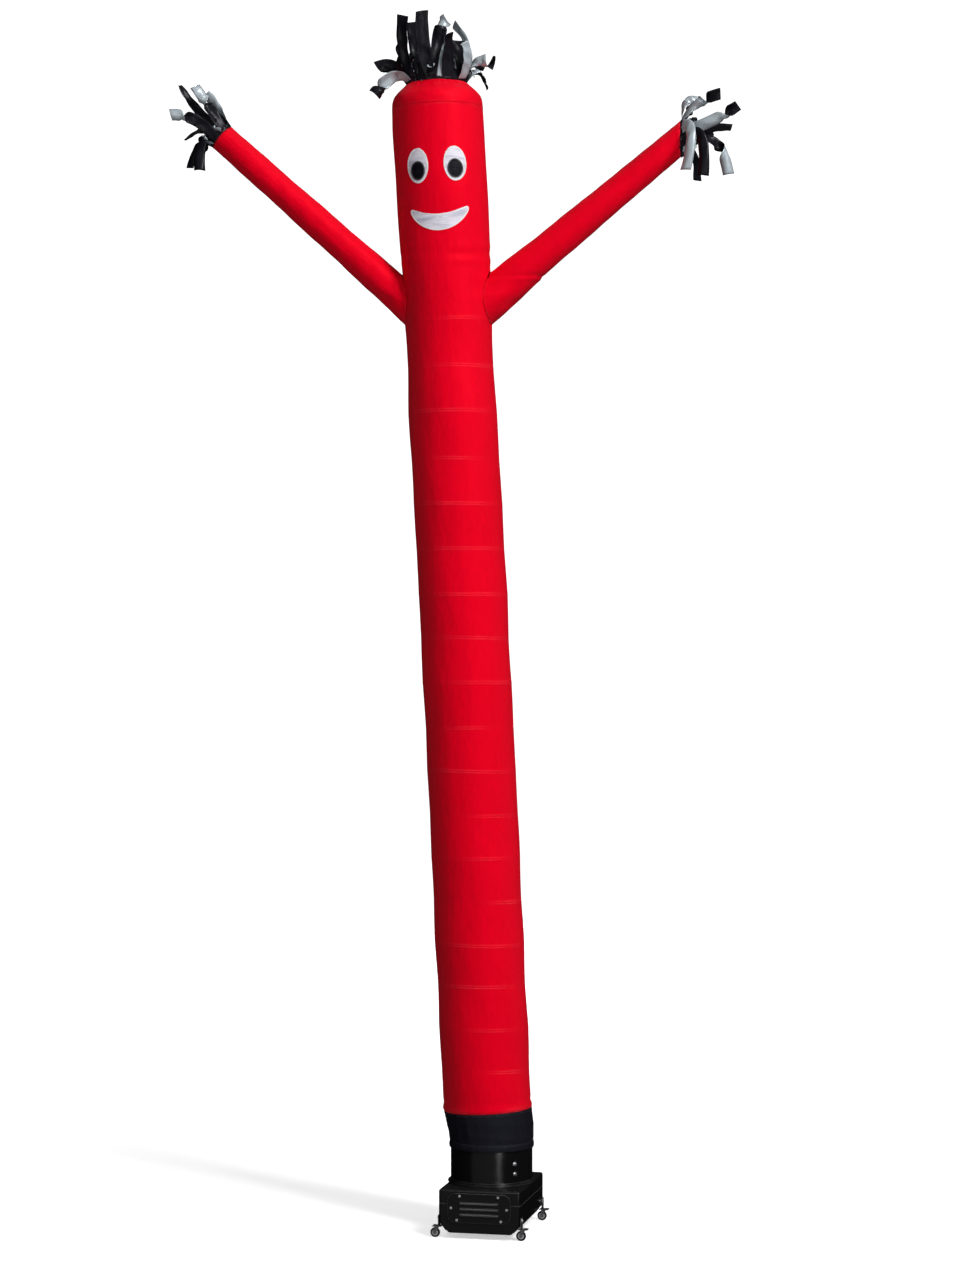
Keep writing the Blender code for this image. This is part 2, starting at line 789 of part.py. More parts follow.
def bolt(name, place, direction):
    """A bolt head on its washer, standing on a face at place and pointing along direction."""
    profile = (
        (0.0, WASHER_HEIGHT + BOLT_HEAD),
        (BOLT_TOP_RADIUS, WASHER_HEIGHT + BOLT_HEAD),
        (BOLT_RADIUS, WASHER_HEIGHT + BOLT_EDGE),
        (BOLT_RADIUS, WASHER_HEIGHT),
        (WASHER_RADIUS, WASHER_HEIGHT),
        (WASHER_RADIUS, 0.0),
        (0.0, 0.0),
    )
    made = turned(name, profile, BOLT_SIDES, BRIGHT_STEEL)
    made.location = place
    made.rotation_euler = direction.to_track_quat("Z", "Y").to_euler()


def make_collar_bolts():
    facet = FIGURE_TURN + (COLLAR_BOLT_FACET + 0.5) * 2 * pi / SIDES
    direction = Vector((cos(facet), sin(facet), 0.0))
    flat = COLLAR_RADIUS * cos(pi / SIDES) + SEAT
    for k, height in enumerate(COLLAR_BOLT_HEIGHTS):
        bolt(f"collar_bolt_{k + 1}", BASE + flat * direction + height * UP, direction)


# The casters


def make_bracket(name, place, side):
    """A steel angle on the housing's side, with the swivel's hole in its foot."""
    wall = HOUSING_HALF_WIDTH + SEAT
    wall_out = wall + BRACKET_THICKNESS
    foot_top = BRACKET_BOTTOM + BRACKET_THICKNESS
    outline = [
        (CASTER_X - BRACKET_REACH, BRACKET_BOTTOM),
        (CASTER_X + BRACKET_REACH, BRACKET_BOTTOM),
        (CASTER_X + BRACKET_REACH, foot_top),
        (wall_out, foot_top),
        (wall_out, BRACKET_TOP),
        (wall, BRACKET_TOP),
        (wall, foot_top),
        (CASTER_X - BRACKET_REACH, foot_top),
    ]
    outline = [(side * x, z) for x, z in outline]
    bracket = flat_outline(name, outline, BRACKET_WIDTH, BRIGHT_STEEL)
    bracket.data.transform(Matrix.Rotation(pi / 2, 4, "X"))
    bracket.location = (BASE_X, place.y, 0.0)
    hole = rod_mesh("kingpin_hole", KINGPIN_HOLE, 4 * BRACKET_THICKNESS, BOLT_SIDES)
    cutter = add_object(name + "_hole", hole, None, CUTTERS)
    cutter.location = (place.x, place.y, BRACKET_BOTTOM)
    boolean(bracket, "DIFFERENCE", cutter)


def make_fork(name, place):
    """Crown, two legs, axle and kingpin of one caster, its origin on the swivel axis."""
    crown_middle = BRACKET_BOTTOM - SEAT - CROWN_SIZE[2] / 2
    rivet_middle = BRACKET_BOTTOM + BRACKET_THICKNESS + SEAT + RIVET_HEIGHT / 2
    pin_middle = (crown_middle + rivet_middle) / 2
    pin_height = rivet_middle - crown_middle
    crown = box_mesh(name, CROWN_SIZE, (CROWN_SHIFT, 0.0, crown_middle))
    fork = add_object(name, crown, BRIGHT_STEEL)
    fork.location = place
    pin = rod_mesh("kingpin", KINGPIN_RADIUS, pin_height, BOLT_SIDES, (0.0, 0.0, pin_middle))
    rivet = rod_mesh("rivet", RIVET_RADIUS, RIVET_HEIGHT, BOLT_SIDES, (0.0, 0.0, rivet_middle))
    axle_middle = (-TRAIL, 0.0, WHEEL_RADIUS)
    axle = rod_mesh("axle", AXLE_RADIUS, 2 * AXLE_HALF_LENGTH, BOLT_SIDES, axle_middle, "Y")
    for mesh in (pin, rivet, axle):
        piece = add_object(f"{name}_{mesh.name}", mesh, None, CUTTERS)
        piece.location = place
        boolean(fork, "UNION", piece)
    for side in (-1, 1):
        leg = flat_outline(f"{name}_leg_{side + 2}", LEG_OUTLINE, LEG_THICKNESS, None, CUTTERS)
        leg.data.transform(Matrix.Rotation(pi / 2, 4, "X"))
        leg.location = place + Vector((0.0, side * (LEG_INSIDE + LEG_THICKNESS / 2), 0.0))
        boolean(fork, "UNION", leg)


def make_wheel(name, place):
    """A wheel with a flat of its tread on the floor, its origin on the axle."""
    rim = WHEEL_RADIUS / cos(pi / WHEEL_SIDES)
    wheel = add_object(name, rod_mesh(name, rim, WHEEL_WIDTH, WHEEL_SIDES, axis="Y"), GREY_RUBBER)
    wheel.location = place + Vector((-TRAIL, 0.0, WHEEL_RADIUS))
    bore = rod_mesh("wheel_bore", WHEEL_BORE, 2 * WHEEL_WIDTH, BOLT_SIDES, axis="Y")
    cutter = add_object(name + "_bore", bore, None, CUTTERS)
    cutter.location = wheel.location
    boolean(wheel, "DIFFERENCE", cutter)


def make_casters():
    corners = {
        "front_left": (-1, -1),
        "front_right": (1, -1),
        "rear_left": (-1, 1),
        "rear_right": (1, 1),
    }
    wall_out = HOUSING_HALF_WIDTH + 2 * SEAT + BRACKET_THICKNESS
    for corner, (side, end) in corners.items():
        place = BASE + Vector((side * CASTER_X, end * CASTER_Y, 0.0))
        make_bracket("bracket_" + corner, place, side)
        make_fork("fork_" + corner, place)
        make_wheel("wheel_" + corner, place)
        head = BASE + Vector((side * wall_out, end * CASTER_Y, BRACKET_BOLT_HEIGHT))
        bolt("bracket_bolt_" + corner, head, Vector((side, 0.0, 0.0)))


make_body()
make_arms()
make_cuff()
make_cap()
make_face()
make_streamers()
make_housing()
make_cover()
make_screws()
make_collar()
make_collar_bolts()
make_casters()
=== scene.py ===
import bpy
import bmesh
import numpy as np
from math import cos, pi, radians, sin, tan
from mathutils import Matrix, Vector


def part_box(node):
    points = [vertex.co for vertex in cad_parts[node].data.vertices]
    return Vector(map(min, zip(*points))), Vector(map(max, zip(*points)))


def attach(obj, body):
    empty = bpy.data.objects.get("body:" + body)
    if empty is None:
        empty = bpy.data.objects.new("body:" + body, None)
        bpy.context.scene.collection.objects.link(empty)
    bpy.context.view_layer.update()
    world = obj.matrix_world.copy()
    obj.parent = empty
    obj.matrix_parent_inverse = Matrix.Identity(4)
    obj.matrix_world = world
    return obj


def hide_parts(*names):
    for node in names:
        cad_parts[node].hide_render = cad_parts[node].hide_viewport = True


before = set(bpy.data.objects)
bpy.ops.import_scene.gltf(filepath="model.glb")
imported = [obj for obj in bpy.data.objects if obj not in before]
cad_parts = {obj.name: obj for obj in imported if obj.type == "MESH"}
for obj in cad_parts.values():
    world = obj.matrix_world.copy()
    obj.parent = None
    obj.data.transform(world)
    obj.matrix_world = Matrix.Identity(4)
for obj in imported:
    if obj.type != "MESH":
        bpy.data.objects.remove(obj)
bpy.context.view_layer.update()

ROOT = "figure_and_blower"
HOUSING_LOW, HOUSING_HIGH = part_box("housing")
BASE = np.array([(HOUSING_LOW.x + HOUSING_HIGH.x) / 2, 0.0, 0.0])

# The figure's own directions: sideways, backwards and up
FIGURE_TURN = radians(7.0)
SIDEWAYS = np.array([cos(FIGURE_TURN), sin(FIGURE_TURN), 0.0])
BACKWARDS = np.array([-sin(FIGURE_TURN), cos(FIGURE_TURN), 0.0])
UP = np.array([0.0, 0.0, 1.0])

# Camera: level, turned to the figure's right, at the height of the photograph's middle
CAMERA_TURN = radians(12.5)
CAMERA_PLACE = (3.411, -14.853, 3.05)
CAMERA_LENS = 82.5

# Cloth thicknesses
NYLON = 0.0012
PATCH = 0.0010
RIBBON = 0.0009

# Seams of the figure
CUFF_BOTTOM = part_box("cuff")[0].z
CUFF_SEAM = 0.624
CAP_SEAM = 5.800
SEAM_GAP = 0.0004
LAP = 0.008
LAP_INSET = 0.0020

# Radii that the flat cloths' maps are laid out with
TUBE_RADIUS = 0.229
CUFF_RADIUS = 0.22
ARM_RADIUS = 0.085

# Above this height the sections follow the spine's lean, which the cuff takes up gradually
LEAN_FROM = 0.75

# Spine: height, sideways offset from the blower's middle, radius
SPINE = np.array((
    (0.430, 0.000, 0.2158),
    (0.500, 0.000, 0.2158),
    (0.560, -0.008, 0.2225),
    (0.606, -0.018, 0.2280),
    (0.624, -0.022, 0.2280),
    (1.500, -0.063, 0.2290),
    (2.500, -0.110, 0.2290),
    (3.500, -0.161, 0.2290),
    (4.300, -0.206, 0.2285),
    (4.600, -0.221, 0.2205),
    (4.830, -0.231, 0.2235),
    (5.050, -0.240, 0.2320),
    (5.350, -0.257, 0.2380),
    (5.700, -0.277, 0.2380),
    (5.800, -0.283, 0.2360),
))

# Packing creases: gaps between them from the cuff up, and how far the cloth folds out and in
CREASE_GAPS = np.linspace(0.2141, 0.2386, 18)
CREASE_FOLD = 0.0020
CREASE_SLOPE = 0.011
CREASE_LINE = 0.0009
CREASE_PAIR = 0.0060
CREASE_SHARP = 0.0035

# Cap on the head: height over the seam, radius
CAP_PROFILE = np.array((
    (0.0000, 0.2360),
    (0.0350, 0.2345),
    (0.0640, 0.2260),
    (0.0880, 0.2070),
    (0.1120, 0.1800),
    (0.1320, 0.1580),
))

# Arms: root and hand middles (sideways, height), radii there, slant of the hand's edge, and
# depth of the fold across the root
ARMS = {
    "left": {
        "root": (-0.454, 4.817),
        "hand": (-1.412, 5.675),
        "radii": (0.0945, 0.0722),
        "slant": 0.0,
        "fold": 0.0,
    },
    "right": {
        "root": (-0.003, 4.827),
        "hand": (0.976, 5.630),
        "radii": (0.1060, 0.0722),
        "slant": radians(39.0),
        "fold": 0.0035,
    },
}
# Along an arm: share of its length, share of the taper done there, pinch of its creases
ARM_STATIONS = np.array((
    (0.00, 0.00, 0.000),
    (0.07, 0.16, -0.003),
    (0.14, 0.28, 0.001),
    (0.30, 0.50, -0.001),
    (0.50, 0.68, 0.001),
    (0.70, 0.82, -0.001),
    (0.86, 0.92, 0.001),
    (1.00, 1.00, 0.000),
))

# Face, as seen along its own direction, from the head's axis at FACE_HEIGHT
FACE_HEIGHT = 5.483
EYE_X = 0.0949
EYE_HALF = (0.0552, 0.0890)
PUPIL_DROP = 0.0255
PUPIL_HALF = (0.0375, 0.0490)
MOUTH_HALF_WIDTH = 0.158
MOUTH_CORNER = -0.206
MOUTH_UPPER_SAG = 0.048
MOUTH_LOWER_SAG = 0.132
RIM_WIDTH = 0.0075
RIM_HEIGHT = 0.0011

# Streamers: width of a cut strip, and how it is drawn in at its sewn end
BAND_HEIGHT = 0.020
HAND_BAND_GAP = 0.0009
HAIR_WIDTH = 0.070
HAND_STRIP_WIDTH = 0.060
DRAWN_IN = 0.85
DRAWN_LENGTH = 0.25
FOLD_REACH = 0.13

# Hair: place round the opening (0 at the face, 90 on the right in front view), knee and tip
# from the root (sideways, backwards, up), twist, the side that shows at its middle, and the
# share of its length where it folds over (0 for none)
HAIR = (
    (-108, (-0.050, 0.050, 0.165), (-0.012, 0.110, 0.265), 95, "black", 0.70),
    (-80, (-0.060, 0.000, 0.080), (-0.150, -0.020, 0.082), 105, "black", 0.0),
    (-60, (-0.078, -0.030, 0.016), (-0.172, -0.060, -0.080), 100, "silver", 0.86),
    (-45, (-0.046, -0.040, 0.145), (-0.044, -0.075, 0.318), 15, "black", 0.0),
    (-24, (-0.030, 0.010, 0.160), (-0.045, 0.020, 0.296), 25, "black", 0.0),
    (-6, (-0.030, -0.045, 0.165), (-0.032, -0.090, 0.322), 35, "black", 0.0),
    (10, (0.000, 0.000, 0.200), (0.048, -0.030, 0.290), 5, "black", 0.80),
    (27, (0.008, -0.050, 0.120), (0.022, -0.120, 0.180), 40, "black", 0.0),
    (43, (0.012, 0.014, 0.118), (0.018, 0.030, 0.198), -30, "black", 0.0),
    (62, (0.034, -0.055, 0.080), (0.026, -0.100, 0.165), 20, "silver", 0.0),
    (80, (0.055, -0.010, 0.090), (0.150, -0.030, 0.080), 95, "silver", 0.84),
    (100, (0.012, 0.045, 0.165), (-0.075, 0.075, 0.318), 5, "black", 0.0),
    (118, (0.065, 0.040, 0.062), (0.110, 0.045, -0.012), 5, "black", 0.0),
    (136, (0.040, 0.070, 0.090), (0.110, 0.125, 0.120), -20, "silver", 0.70),
    (155, (0.020, 0.075, 0.130), (0.050, 0.140, 0.210), 40, "black", 0.0),
    (176, (-0.008, 0.060, 0.150), (-0.005, 0.095, 0.270), 30, "black", 0.75),
    (-164, (-0.025, 0.080, 0.110), (-0.060, 0.130, 0.190), 60, "silver", 0.0),
    (-140, (-0.060, 0.080, 0.120), (-0.120, 0.140, 0.190), -40, "black", 0.0),
)

# Hands: the same, with 0 at the front and 90 on the upper side
HAND_STRIPS = {
    "left": (
        (78, (-0.050, 0.010, 0.090), (-0.130, 0.020, 0.170), 75, "silver", 0.0),
        (32, (-0.072, -0.040, 0.112), (-0.140, -0.065, 0.212), -5, "black", 0.62),
        (4, (-0.118, -0.012, 0.130), (-0.202, -0.020, 0.254), 75, "black", 0.0),
        (-20, (-0.100, -0.070, 0.084), (-0.218, -0.100, 0.106), 30, "black", 0.72),
        (-64, (-0.048, -0.026, 0.000), (-0.056, -0.044, -0.142), -65, "black", 0.0),
        (-104, (-0.078, 0.020, 0.010), (-0.128, 0.030, -0.105), -60, "black", 0.0),
        (-148, (-0.070, 0.070, 0.030), (-0.130, 0.125, -0.050), 30, "black", 0.80),
        (180, (-0.110, 0.055, 0.060), (-0.217, 0.075, 0.005), 45, "black", 0.0),
        (134, (-0.075, 0.070, 0.100), (-0.140, 0.115, 0.165), -10, "black", 0.70),
    ),
    "right": (
        (92, (0.018, 0.000, 0.085), (0.070, 0.000, 0.095), 75, "silver", 0.0),
        (66, (0.082, -0.030, 0.080), (0.199, -0.060, 0.122), 80, "silver", 0.66),
        (40, (0.050, -0.085, -0.060), (0.022, -0.095, -0.250), -15, "silver", 0.0),
        (12, (0.135, -0.030, 0.040), (0.290, -0.050, 0.120), 50, "silver", 0.80),
        (-16, (0.098, -0.060, 0.010), (0.112, -0.075, -0.195), -30, "black", 0.0),
        (-50, (0.120, -0.015, 0.090), (0.252, -0.010, 0.110), 10, "black", 0.0),
        (-112, (0.150, 0.040, 0.085), (0.238, 0.060, -0.095), 90, "black", 0.74),
        (-150, (0.055, 0.070, -0.010), (0.075, 0.110, -0.150), 30, "black", 0.0),
        (170, (0.090, 0.090, 0.060), (0.160, 0.150, 0.020), -40, "black", 0.0),
    ),
}

# Short crumpled strips between the long ones: how many, how far they reach, how wide they are
HAIR_SHORT = (26, 0.125, 0.048)
HAND_SHORT = (11, 0.085, 0.040)

# Louvre blades of the front cover
BLADE_HEIGHTS = (0.127, 0.156, 0.185)
BLADE_HALF_WIDTH = 0.098
BLADE_HEIGHT = 0.011
BLADE_THICKNESS = 0.0018
BLADE_TURN = (radians(30.0), radians(15.0))

# Pitches of the threads and ribs in the cloth's shaders
SATIN_RIBS = 0.012
EDGING_THREADS = 0.0009
RIPSTOP_PITCH = 0.006
RIPSTOP_LINE = 0.0006

# Mesh steps
TUBE_SIDES = 136
ARM_SIDES = 72
ARM_ROWS = 120
STRIP_ROWS = 40
STRIP_COLUMNS = 6
ROUND_SIDES = 128
WHEEL_SIDES = 64
HUB_SIDES = 48
CORNER_STEPS = 8
CAP_ROWS = 34
PATCH_RINGS = 14

# Stitches
STITCH_PITCH = 0.0045
STITCH_LENGTH = 0.0034
STITCH_RADIUS = 0.0005
STITCH_ROWS_APART = 0.0060

chance = np.random.default_rng(11)


# Shaders


def shader_node(tree, kind, inputs=None, **settings):
    """A node with its settings and inputs, each a value or another node's output."""
    made = tree.nodes.new(kind)
    for key, value in settings.items():
        setattr(made, key, value)
    for key, value in (inputs or {}).items():
        if isinstance(value, bpy.types.NodeSocket):
            tree.links.new(value, made.inputs[key])
        else:
            made.inputs[key].default_value = value
    return made


def math(tree, operation, a, b=0.0, clamp=False):
    made = shader_node(tree, "ShaderNodeMath", {0: a, 1: b}, operation=operation, use_clamp=clamp)
    return made.outputs[0]


def ramp(tree, value, low, gain):
    """0 up to low, then rising by gain, up to 1."""
    return math(tree, "MULTIPLY", math(tree, "SUBTRACT", value, low), gain, True)


def mix(tree, share, a, b):
    """A mix of two colours, each a value or an output."""
    made = shader_node(tree, "ShaderNodeMix", data_type="RGBA")
    for socket, value in ((0, share), (6, a), (7, b)):
        if isinstance(value, bpy.types.NodeSocket):
            tree.links.new(value, made.inputs[socket])
        else:
            made.inputs[socket].default_value = value if socket == 0 else (*value, 1.0)
    return made.outputs[2]


def paint(name, colour, roughness, **sockets):
    """A material and its tree and shader, with the shader's own sockets set."""
    made = bpy.data.materials.new(name)
    made.use_nodes = True
    shader = made.node_tree.nodes["Principled BSDF"]
    shader.inputs["Base Color"].default_value = (*colour, 1.0)
    shader.inputs["Roughness"].default_value = roughness
    for key, value in sockets.items():
        shader.inputs[key.replace("_", " ")].default_value = value
    return made, made.node_tree, shader


def noise(tree, scale, detail=2.0, vector=None, roughness=0.5):
    inputs = {"Scale": scale, "Detail": detail, "Roughness": roughness}
    if vector is not None:
        inputs["Vector"] = vector
    return shader_node(tree, "ShaderNodeTexNoise", inputs).outputs["Fac"]


def mapped(tree, place, scale):
    return shader_node(tree, "ShaderNodeMapping", {"Vector": place, "Scale": scale}).outputs[0]


def object_coordinates(tree, scale=(1.0, 1.0, 1.0)):
    return mapped(tree, shader_node(tree, "ShaderNodeTexCoord").outputs["Object"], scale)


def cloth_coordinates(tree, scale=(1.0, 1.0, 1.0)):
    """Metres along and across the cut cloth, kept in the piece's own map."""
    return mapped(tree, shader_node(tree, "ShaderNodeUVMap", uv_map="cut").outputs[0], scale)


def split(tree, vector):
    return shader_node(tree, "ShaderNodeSeparateXYZ", {0: vector}).outputs


def threads(tree, place, pitch):
    """A wave over a distance, one turn each pitch."""
    return math(tree, "SINE", math(tree, "MULTIPLY", place, 2 * pi / pitch))


def faded(colour, share):
    return [share * c for c in colour]


def coloured(tree, shader, share, a, b):
    """The shader's colour as a mix of two."""
    tree.links.new(mix(tree, share, a, b), shader.inputs["Base Color"])


def ripstop(tree):
    """Raised threads of ripstop cloth: 1 on a thread of the square grid, 0 between."""
    place = split(tree, cloth_coordinates(tree))
    lines = []
    for axis in (0, 1):
        fold = math(tree, "PINGPONG", place[axis], RIPSTOP_PITCH / 2)
        lines.append(math(tree, "LESS_THAN", fold, RIPSTOP_LINE / 2))
    return math(tree, "MAXIMUM", lines[0], lines[1])


def bumped(tree, shader, layers):
    """Bumps from (height, distance) layers, one on another, into the shader."""
    normal = None
    for height, distance in layers:
        inputs = {"Height": height, "Distance": distance, "Strength": 1.0}
        if normal is not None:
            inputs["Normal"] = normal
        normal = shader_node(tree, "ShaderNodeBump", inputs).outputs[0]
    tree.links.new(normal, shader.inputs["Normal"])


def nylon(name, colour, light, dark, roughness, shine):
    """Thin woven nylon: ripstop threads, soft puckers, and a lighter colour along the marked lines, which
    are packing creases and, on the tube, a painted highlight above the cuff's seam.
    """
    made, tree, shader = paint(name, colour, roughness, Specular_IOR_Level=shine)
    shader.inputs["Specular Tint"].default_value = (*[c / max(colour) for c in colour], 1.0)
    crease = shader_node(tree, "ShaderNodeAttribute", attribute_name="crease").outputs["Fac"]
    fine_line = math(tree, "POWER", crease, 2.0)
    # The crease mark also carries the tube's painted highlight above the cuff's seam; both take the lighter
    # colour.
    wear_and_painted_highlight = math(tree, "MULTIPLY", fine_line, noise(tree, 9.0, 3.0, object_coordinates(tree)))
    patchy = noise(tree, 2.3, 3.0, object_coordinates(tree))
    body = mix(tree, ramp(tree, patchy, 0.35, 0.8), colour, dark)
    coloured(tree, shader, wear_and_painted_highlight, body, light)
    puckers = noise(tree, 14.0, 3.0, cloth_coordinates(tree, (1.0, 0.35, 1.0)))
    fine = noise(tree, 900.0, 1.0, cloth_coordinates(tree))
    bumped(tree, shader, ((puckers, 0.006), (ripstop(tree), 0.00012), (fine, 0.00008)))
    return made


def satin(name, colour, shadow, roughness, shine):
    """Satin of an applique, with faint ribs across and soft puckers."""
    made, tree, shader = paint(name, colour, roughness, Specular_IOR_Level=shine)
    rib = threads(tree, split(tree, cloth_coordinates(tree))[1], SATIN_RIBS)
    uneven = noise(tree, 30.0, 3.0, cloth_coordinates(tree, (0.25, 1.0, 1.0)))
    coloured(tree, shader, ramp(tree, uneven, 0.44, 3.2), colour, shadow)
    bumped(tree, shader, ((uneven, 0.005), (rib, 0.0002)))
    return made


def edging(name, colour):
    """Satin stitch: threads side by side across the rim."""
    made, tree, shader = paint(name, colour, 0.35, Sheen_Weight=0.3)
    thread = threads(tree, split(tree, cloth_coordinates(tree))[0], EDGING_THREADS)
    uneven = noise(tree, 60.0, 2.0, cloth_coordinates(tree))
    coloured(tree, shader, math(tree, "MULTIPLY", uneven, 0.3), colour, faded(colour, 0.6))
    bumped(tree, shader, ((thread, 0.0002),))
    return made


def ribbon(name, colour, shadow, roughness, metallic):
    """One side of a streamer: smooth coated cloth with crinkles."""
    made, tree, shader = paint(name, colour, roughness, Metallic=metallic, Specular_IOR_Level=0.15)
    crinkle = noise(tree, 26.0, 3.0, cloth_coordinates(tree, (1.0, 0.4, 1.0)))
    streak = noise(tree, 90.0, 2.0, cloth_coordinates(tree, (1.0, 0.05, 1.0)))
    coloured(tree, shader, crinkle, colour, shadow)
    bumped(tree, shader, ((crinkle, 0.0018), (streak, 0.0002)))
    return made


def edge_mask(tree, reach):
    """1 along edges, fading to 0 at reach metres from them."""
    soft = shader_node(tree, "ShaderNodeBevel", {"Radius": reach}, samples=4).outputs[0]
    sharp = shader_node(tree, "ShaderNodeNewGeometry").outputs["Normal"]
    facing = shader_node(tree, "ShaderNodeVectorMath", {0: soft, 1: sharp}, operation="DOT_PRODUCT")
    return math(tree, "MULTIPLY", math(tree, "SUBTRACT", 1.0, facing.outputs["Value"]), 4.0, True)


def plastic(name, colour, dust_and_highlight_colour):
    """Glossy moulded plastic, finely scuffed, with a little dust on what faces up and a painted highlight
    along its edges.
    """
    made, tree, shader = paint(name, colour, 0.2, Specular_IOR_Level=0.3)
    scuff = noise(tree, 7.0, 5.0, object_coordinates(tree), 0.65)
    fine = noise(tree, 260.0, 2.0, object_coordinates(tree))
    rough = math(tree, "ADD", math(tree, "MULTIPLY", scuff, 0.22), 0.08)
    tree.links.new(rough, shader.inputs["Roughness"])
    up = split(tree, shader_node(tree, "ShaderNodeNewGeometry").outputs["Normal"])[2]
    dust = math(tree, "MULTIPLY", math(tree, "MULTIPLY", up, scuff, True), 0.08, True)
    # Painted highlight: the edges take the paler colour, as does the dust on what faces up.
    dust_and_edge_highlight = math(tree, "ADD", dust, math(tree, "MULTIPLY", edge_mask(tree, 0.004), 0.5), True)
    coloured(tree, shader, dust_and_edge_highlight, colour, dust_and_highlight_colour)
    bumped(tree, shader, ((scuff, 0.0012), (fine, 0.00004)))
    return made


def steel(name, colour, roughness):
    """Zinc-plated steel with fine drawing lines and duller patches."""
    made, tree, shader = paint(name, colour, roughness, Metallic=1.0)
    patch = noise(tree, 40.0, 4.0, object_coordinates(tree))
    lines = noise(tree, 300.0, 1.0, object_coordinates(tree, (1.0, 1.0, 0.06)))
    rough = math(tree, "ADD", math(tree, "MULTIPLY", patch, 0.25), roughness - 0.1)
    tree.links.new(rough, shader.inputs["Roughness"])
    coloured(tree, shader, patch, colour, faded(colour, 0.75))
    bumped(tree, shader, ((lines, 0.00005),))
    return made


def rubber(name, colour):
    """Wheel rubber or hub plastic, a little scuffed."""
    made, tree, shader = paint(name, colour, 0.6, Specular_IOR_Level=0.2)
    wear_and_painted_highlight = noise(tree, 120.0, 4.0, object_coordinates(tree))
    coloured(tree, shader, wear_and_painted_highlight, colour, faded(colour, 0.55))
    bumped(tree, shader, ((wear_and_painted_highlight, 0.0004),))
    return made


# Red nylon's second colour is the lighter one for its creases and for the tube's painted highlight line.
RED_NYLON = nylon(
    "red_nylon", (0.78, 0.0006, 0.0145), (0.92, 0.045, 0.07), (0.64, 0.0004, 0.0100), 0.46, 0.8
)
BLACK_NYLON = nylon(
    "black_nylon", (0.009, 0.009, 0.013), (0.035, 0.035, 0.04), (0.006, 0.006, 0.008), 0.5, 0.12
)
WHITE_SATIN = satin("white_satin", (0.72, 0.69, 0.77), (0.34, 0.35, 0.46), 0.45, 0.25)
BLACK_SATIN = satin("black_satin", (0.003, 0.003, 0.006), (0.009, 0.009, 0.013), 0.5, 0.08)
WHITE_EDGING = edging("white_edging", (0.88, 0.88, 0.90))
BLACK_EDGING = edging("black_edging", (0.02, 0.02, 0.022))
SILVER_SIDE = ribbon("streamer_silver", (0.52, 0.58, 0.61), (0.34, 0.39, 0.43), 0.38, 0.25)
BLACK_SIDE = ribbon("streamer_black", (0.004, 0.004, 0.006), (0.012, 0.012, 0.017), 0.36, 0.0)
RED_THREAD = edging("red_thread", (0.72, 0.001, 0.014))
BLACK_THREAD = edging("black_thread", (0.02, 0.02, 0.022))
PLASTIC = plastic("black_plastic", (0.004, 0.004, 0.0045), (0.16, 0.16, 0.16))
STEEL = steel("bright_steel", (0.86, 0.86, 0.88), 0.42)
# A darker copy of the steel for the forks and the front and rear brackets: painted dark reflection.
DARK_REFLECTION_STEEL = steel("steel_painted_dark_reflection", (0.26, 0.26, 0.27), 0.34)
RUBBER = rubber("wheel_rubber", (0.008, 0.008, 0.009))
HUB = rubber("wheel_hub", (0.50, 0.50, 0.52))


# Meshes from grids of points


def grid_mesh(name, parts, paints, loop_rows=False):
    """One mesh from parts, each (points, cut, ring, back): points in rows and columns, cut in
    metres on the flat cloth with one more column where ring closes the columns, and back for
    a part whose faces look the other way."""
    vertices, faces, cuts = [], [], []
    first = 0
    for points, cut, ring, back in parts:
        rows, columns = points.shape[:2]
        for r in range(rows if loop_rows else rows - 1):
            below = (r + 1) % rows
            for c in range(columns if ring else columns - 1):
                beside = (c + 1) % columns
                corners = [(r, c, c), (r, beside, c + 1), (below, beside, c + 1), (below, c, c)]
                if back:
                    corners.reverse()
                faces.append([first + row * columns + column for row, column, _ in corners])
                for row, _, place in corners:
                    cuts.append(cut[row + (rows if loop_rows and row < r else 0), place])
        vertices.append(points.reshape(-1, 3))
        first += rows * columns
    mesh = bpy.data.meshes.new(name)
    mesh.from_pydata(np.concatenate(vertices).tolist(), [], faces)
    layer = mesh.uv_layers.new(name="cut")
    layer.data.foreach_set("uv", np.array(cuts, np.float32).ravel())
    for used in paints:
        mesh.materials.append(used)
    mesh.shade_smooth()
    return mesh


def ring_mesh(name, points, cut, used, back=False):
    """A mesh of one closed ring of columns, in one material."""
    return grid_mesh(name, [(points, cut, True, back)], [used])


def placed(name, data):
    """A new object in the scene."""
    made = bpy.data.objects.new(name, data)
    bpy.context.scene.collection.objects.link(made)
    return made


def piece(name, mesh, body=ROOT, replaces=()):
    made = placed(name, mesh)
    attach(made, body)
    if replaces:
        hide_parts(*replaces)
    return made


def thicken(made, thickness, offset=-1.0, second=0):
    modifier = made.modifiers.new("thickness", "SOLIDIFY")
    modifier.thickness = thickness
    modifier.offset = offset
    modifier.material_offset = second
    modifier.material_offset_rim = second


def mark(mesh, name, values):
    """A number on each point, read by the shaders."""
    layer = mesh.attributes.new(name, "FLOAT", "POINT")
    layer.data.foreach_set("value", np.asarray(values, np.float32).ravel())


def soft_step(x, low, high):
    t = np.clip((x - low) / (high - low), 0.0, 1.0)
    return t * t * (3 - 2 * t)


def hill(x, width):
    return np.exp(-((x / width) ** 2))


def travel_along(line):
    """Distance from the line's start at each of its points."""
    steps = np.linalg.norm(np.diff(line, axis=0), axis=1)
    return np.concatenate([[0.0], np.cumsum(steps)])


def closed_line(line):
    return np.vstack([line, line[:1]])


def cut_grid(rows, columns):
    """Places on the flat cloth, from heights of rows and places across."""
    return np.stack(np.meshgrid(rows, columns, indexing="ij")[::-1], -1)


def outwards(a, across):
    """Directions out from the figure's axis, at angles from the face to the right."""
    return np.sin(a)[..., None] * across - np.cos(a)[..., None] * BACKWARDS


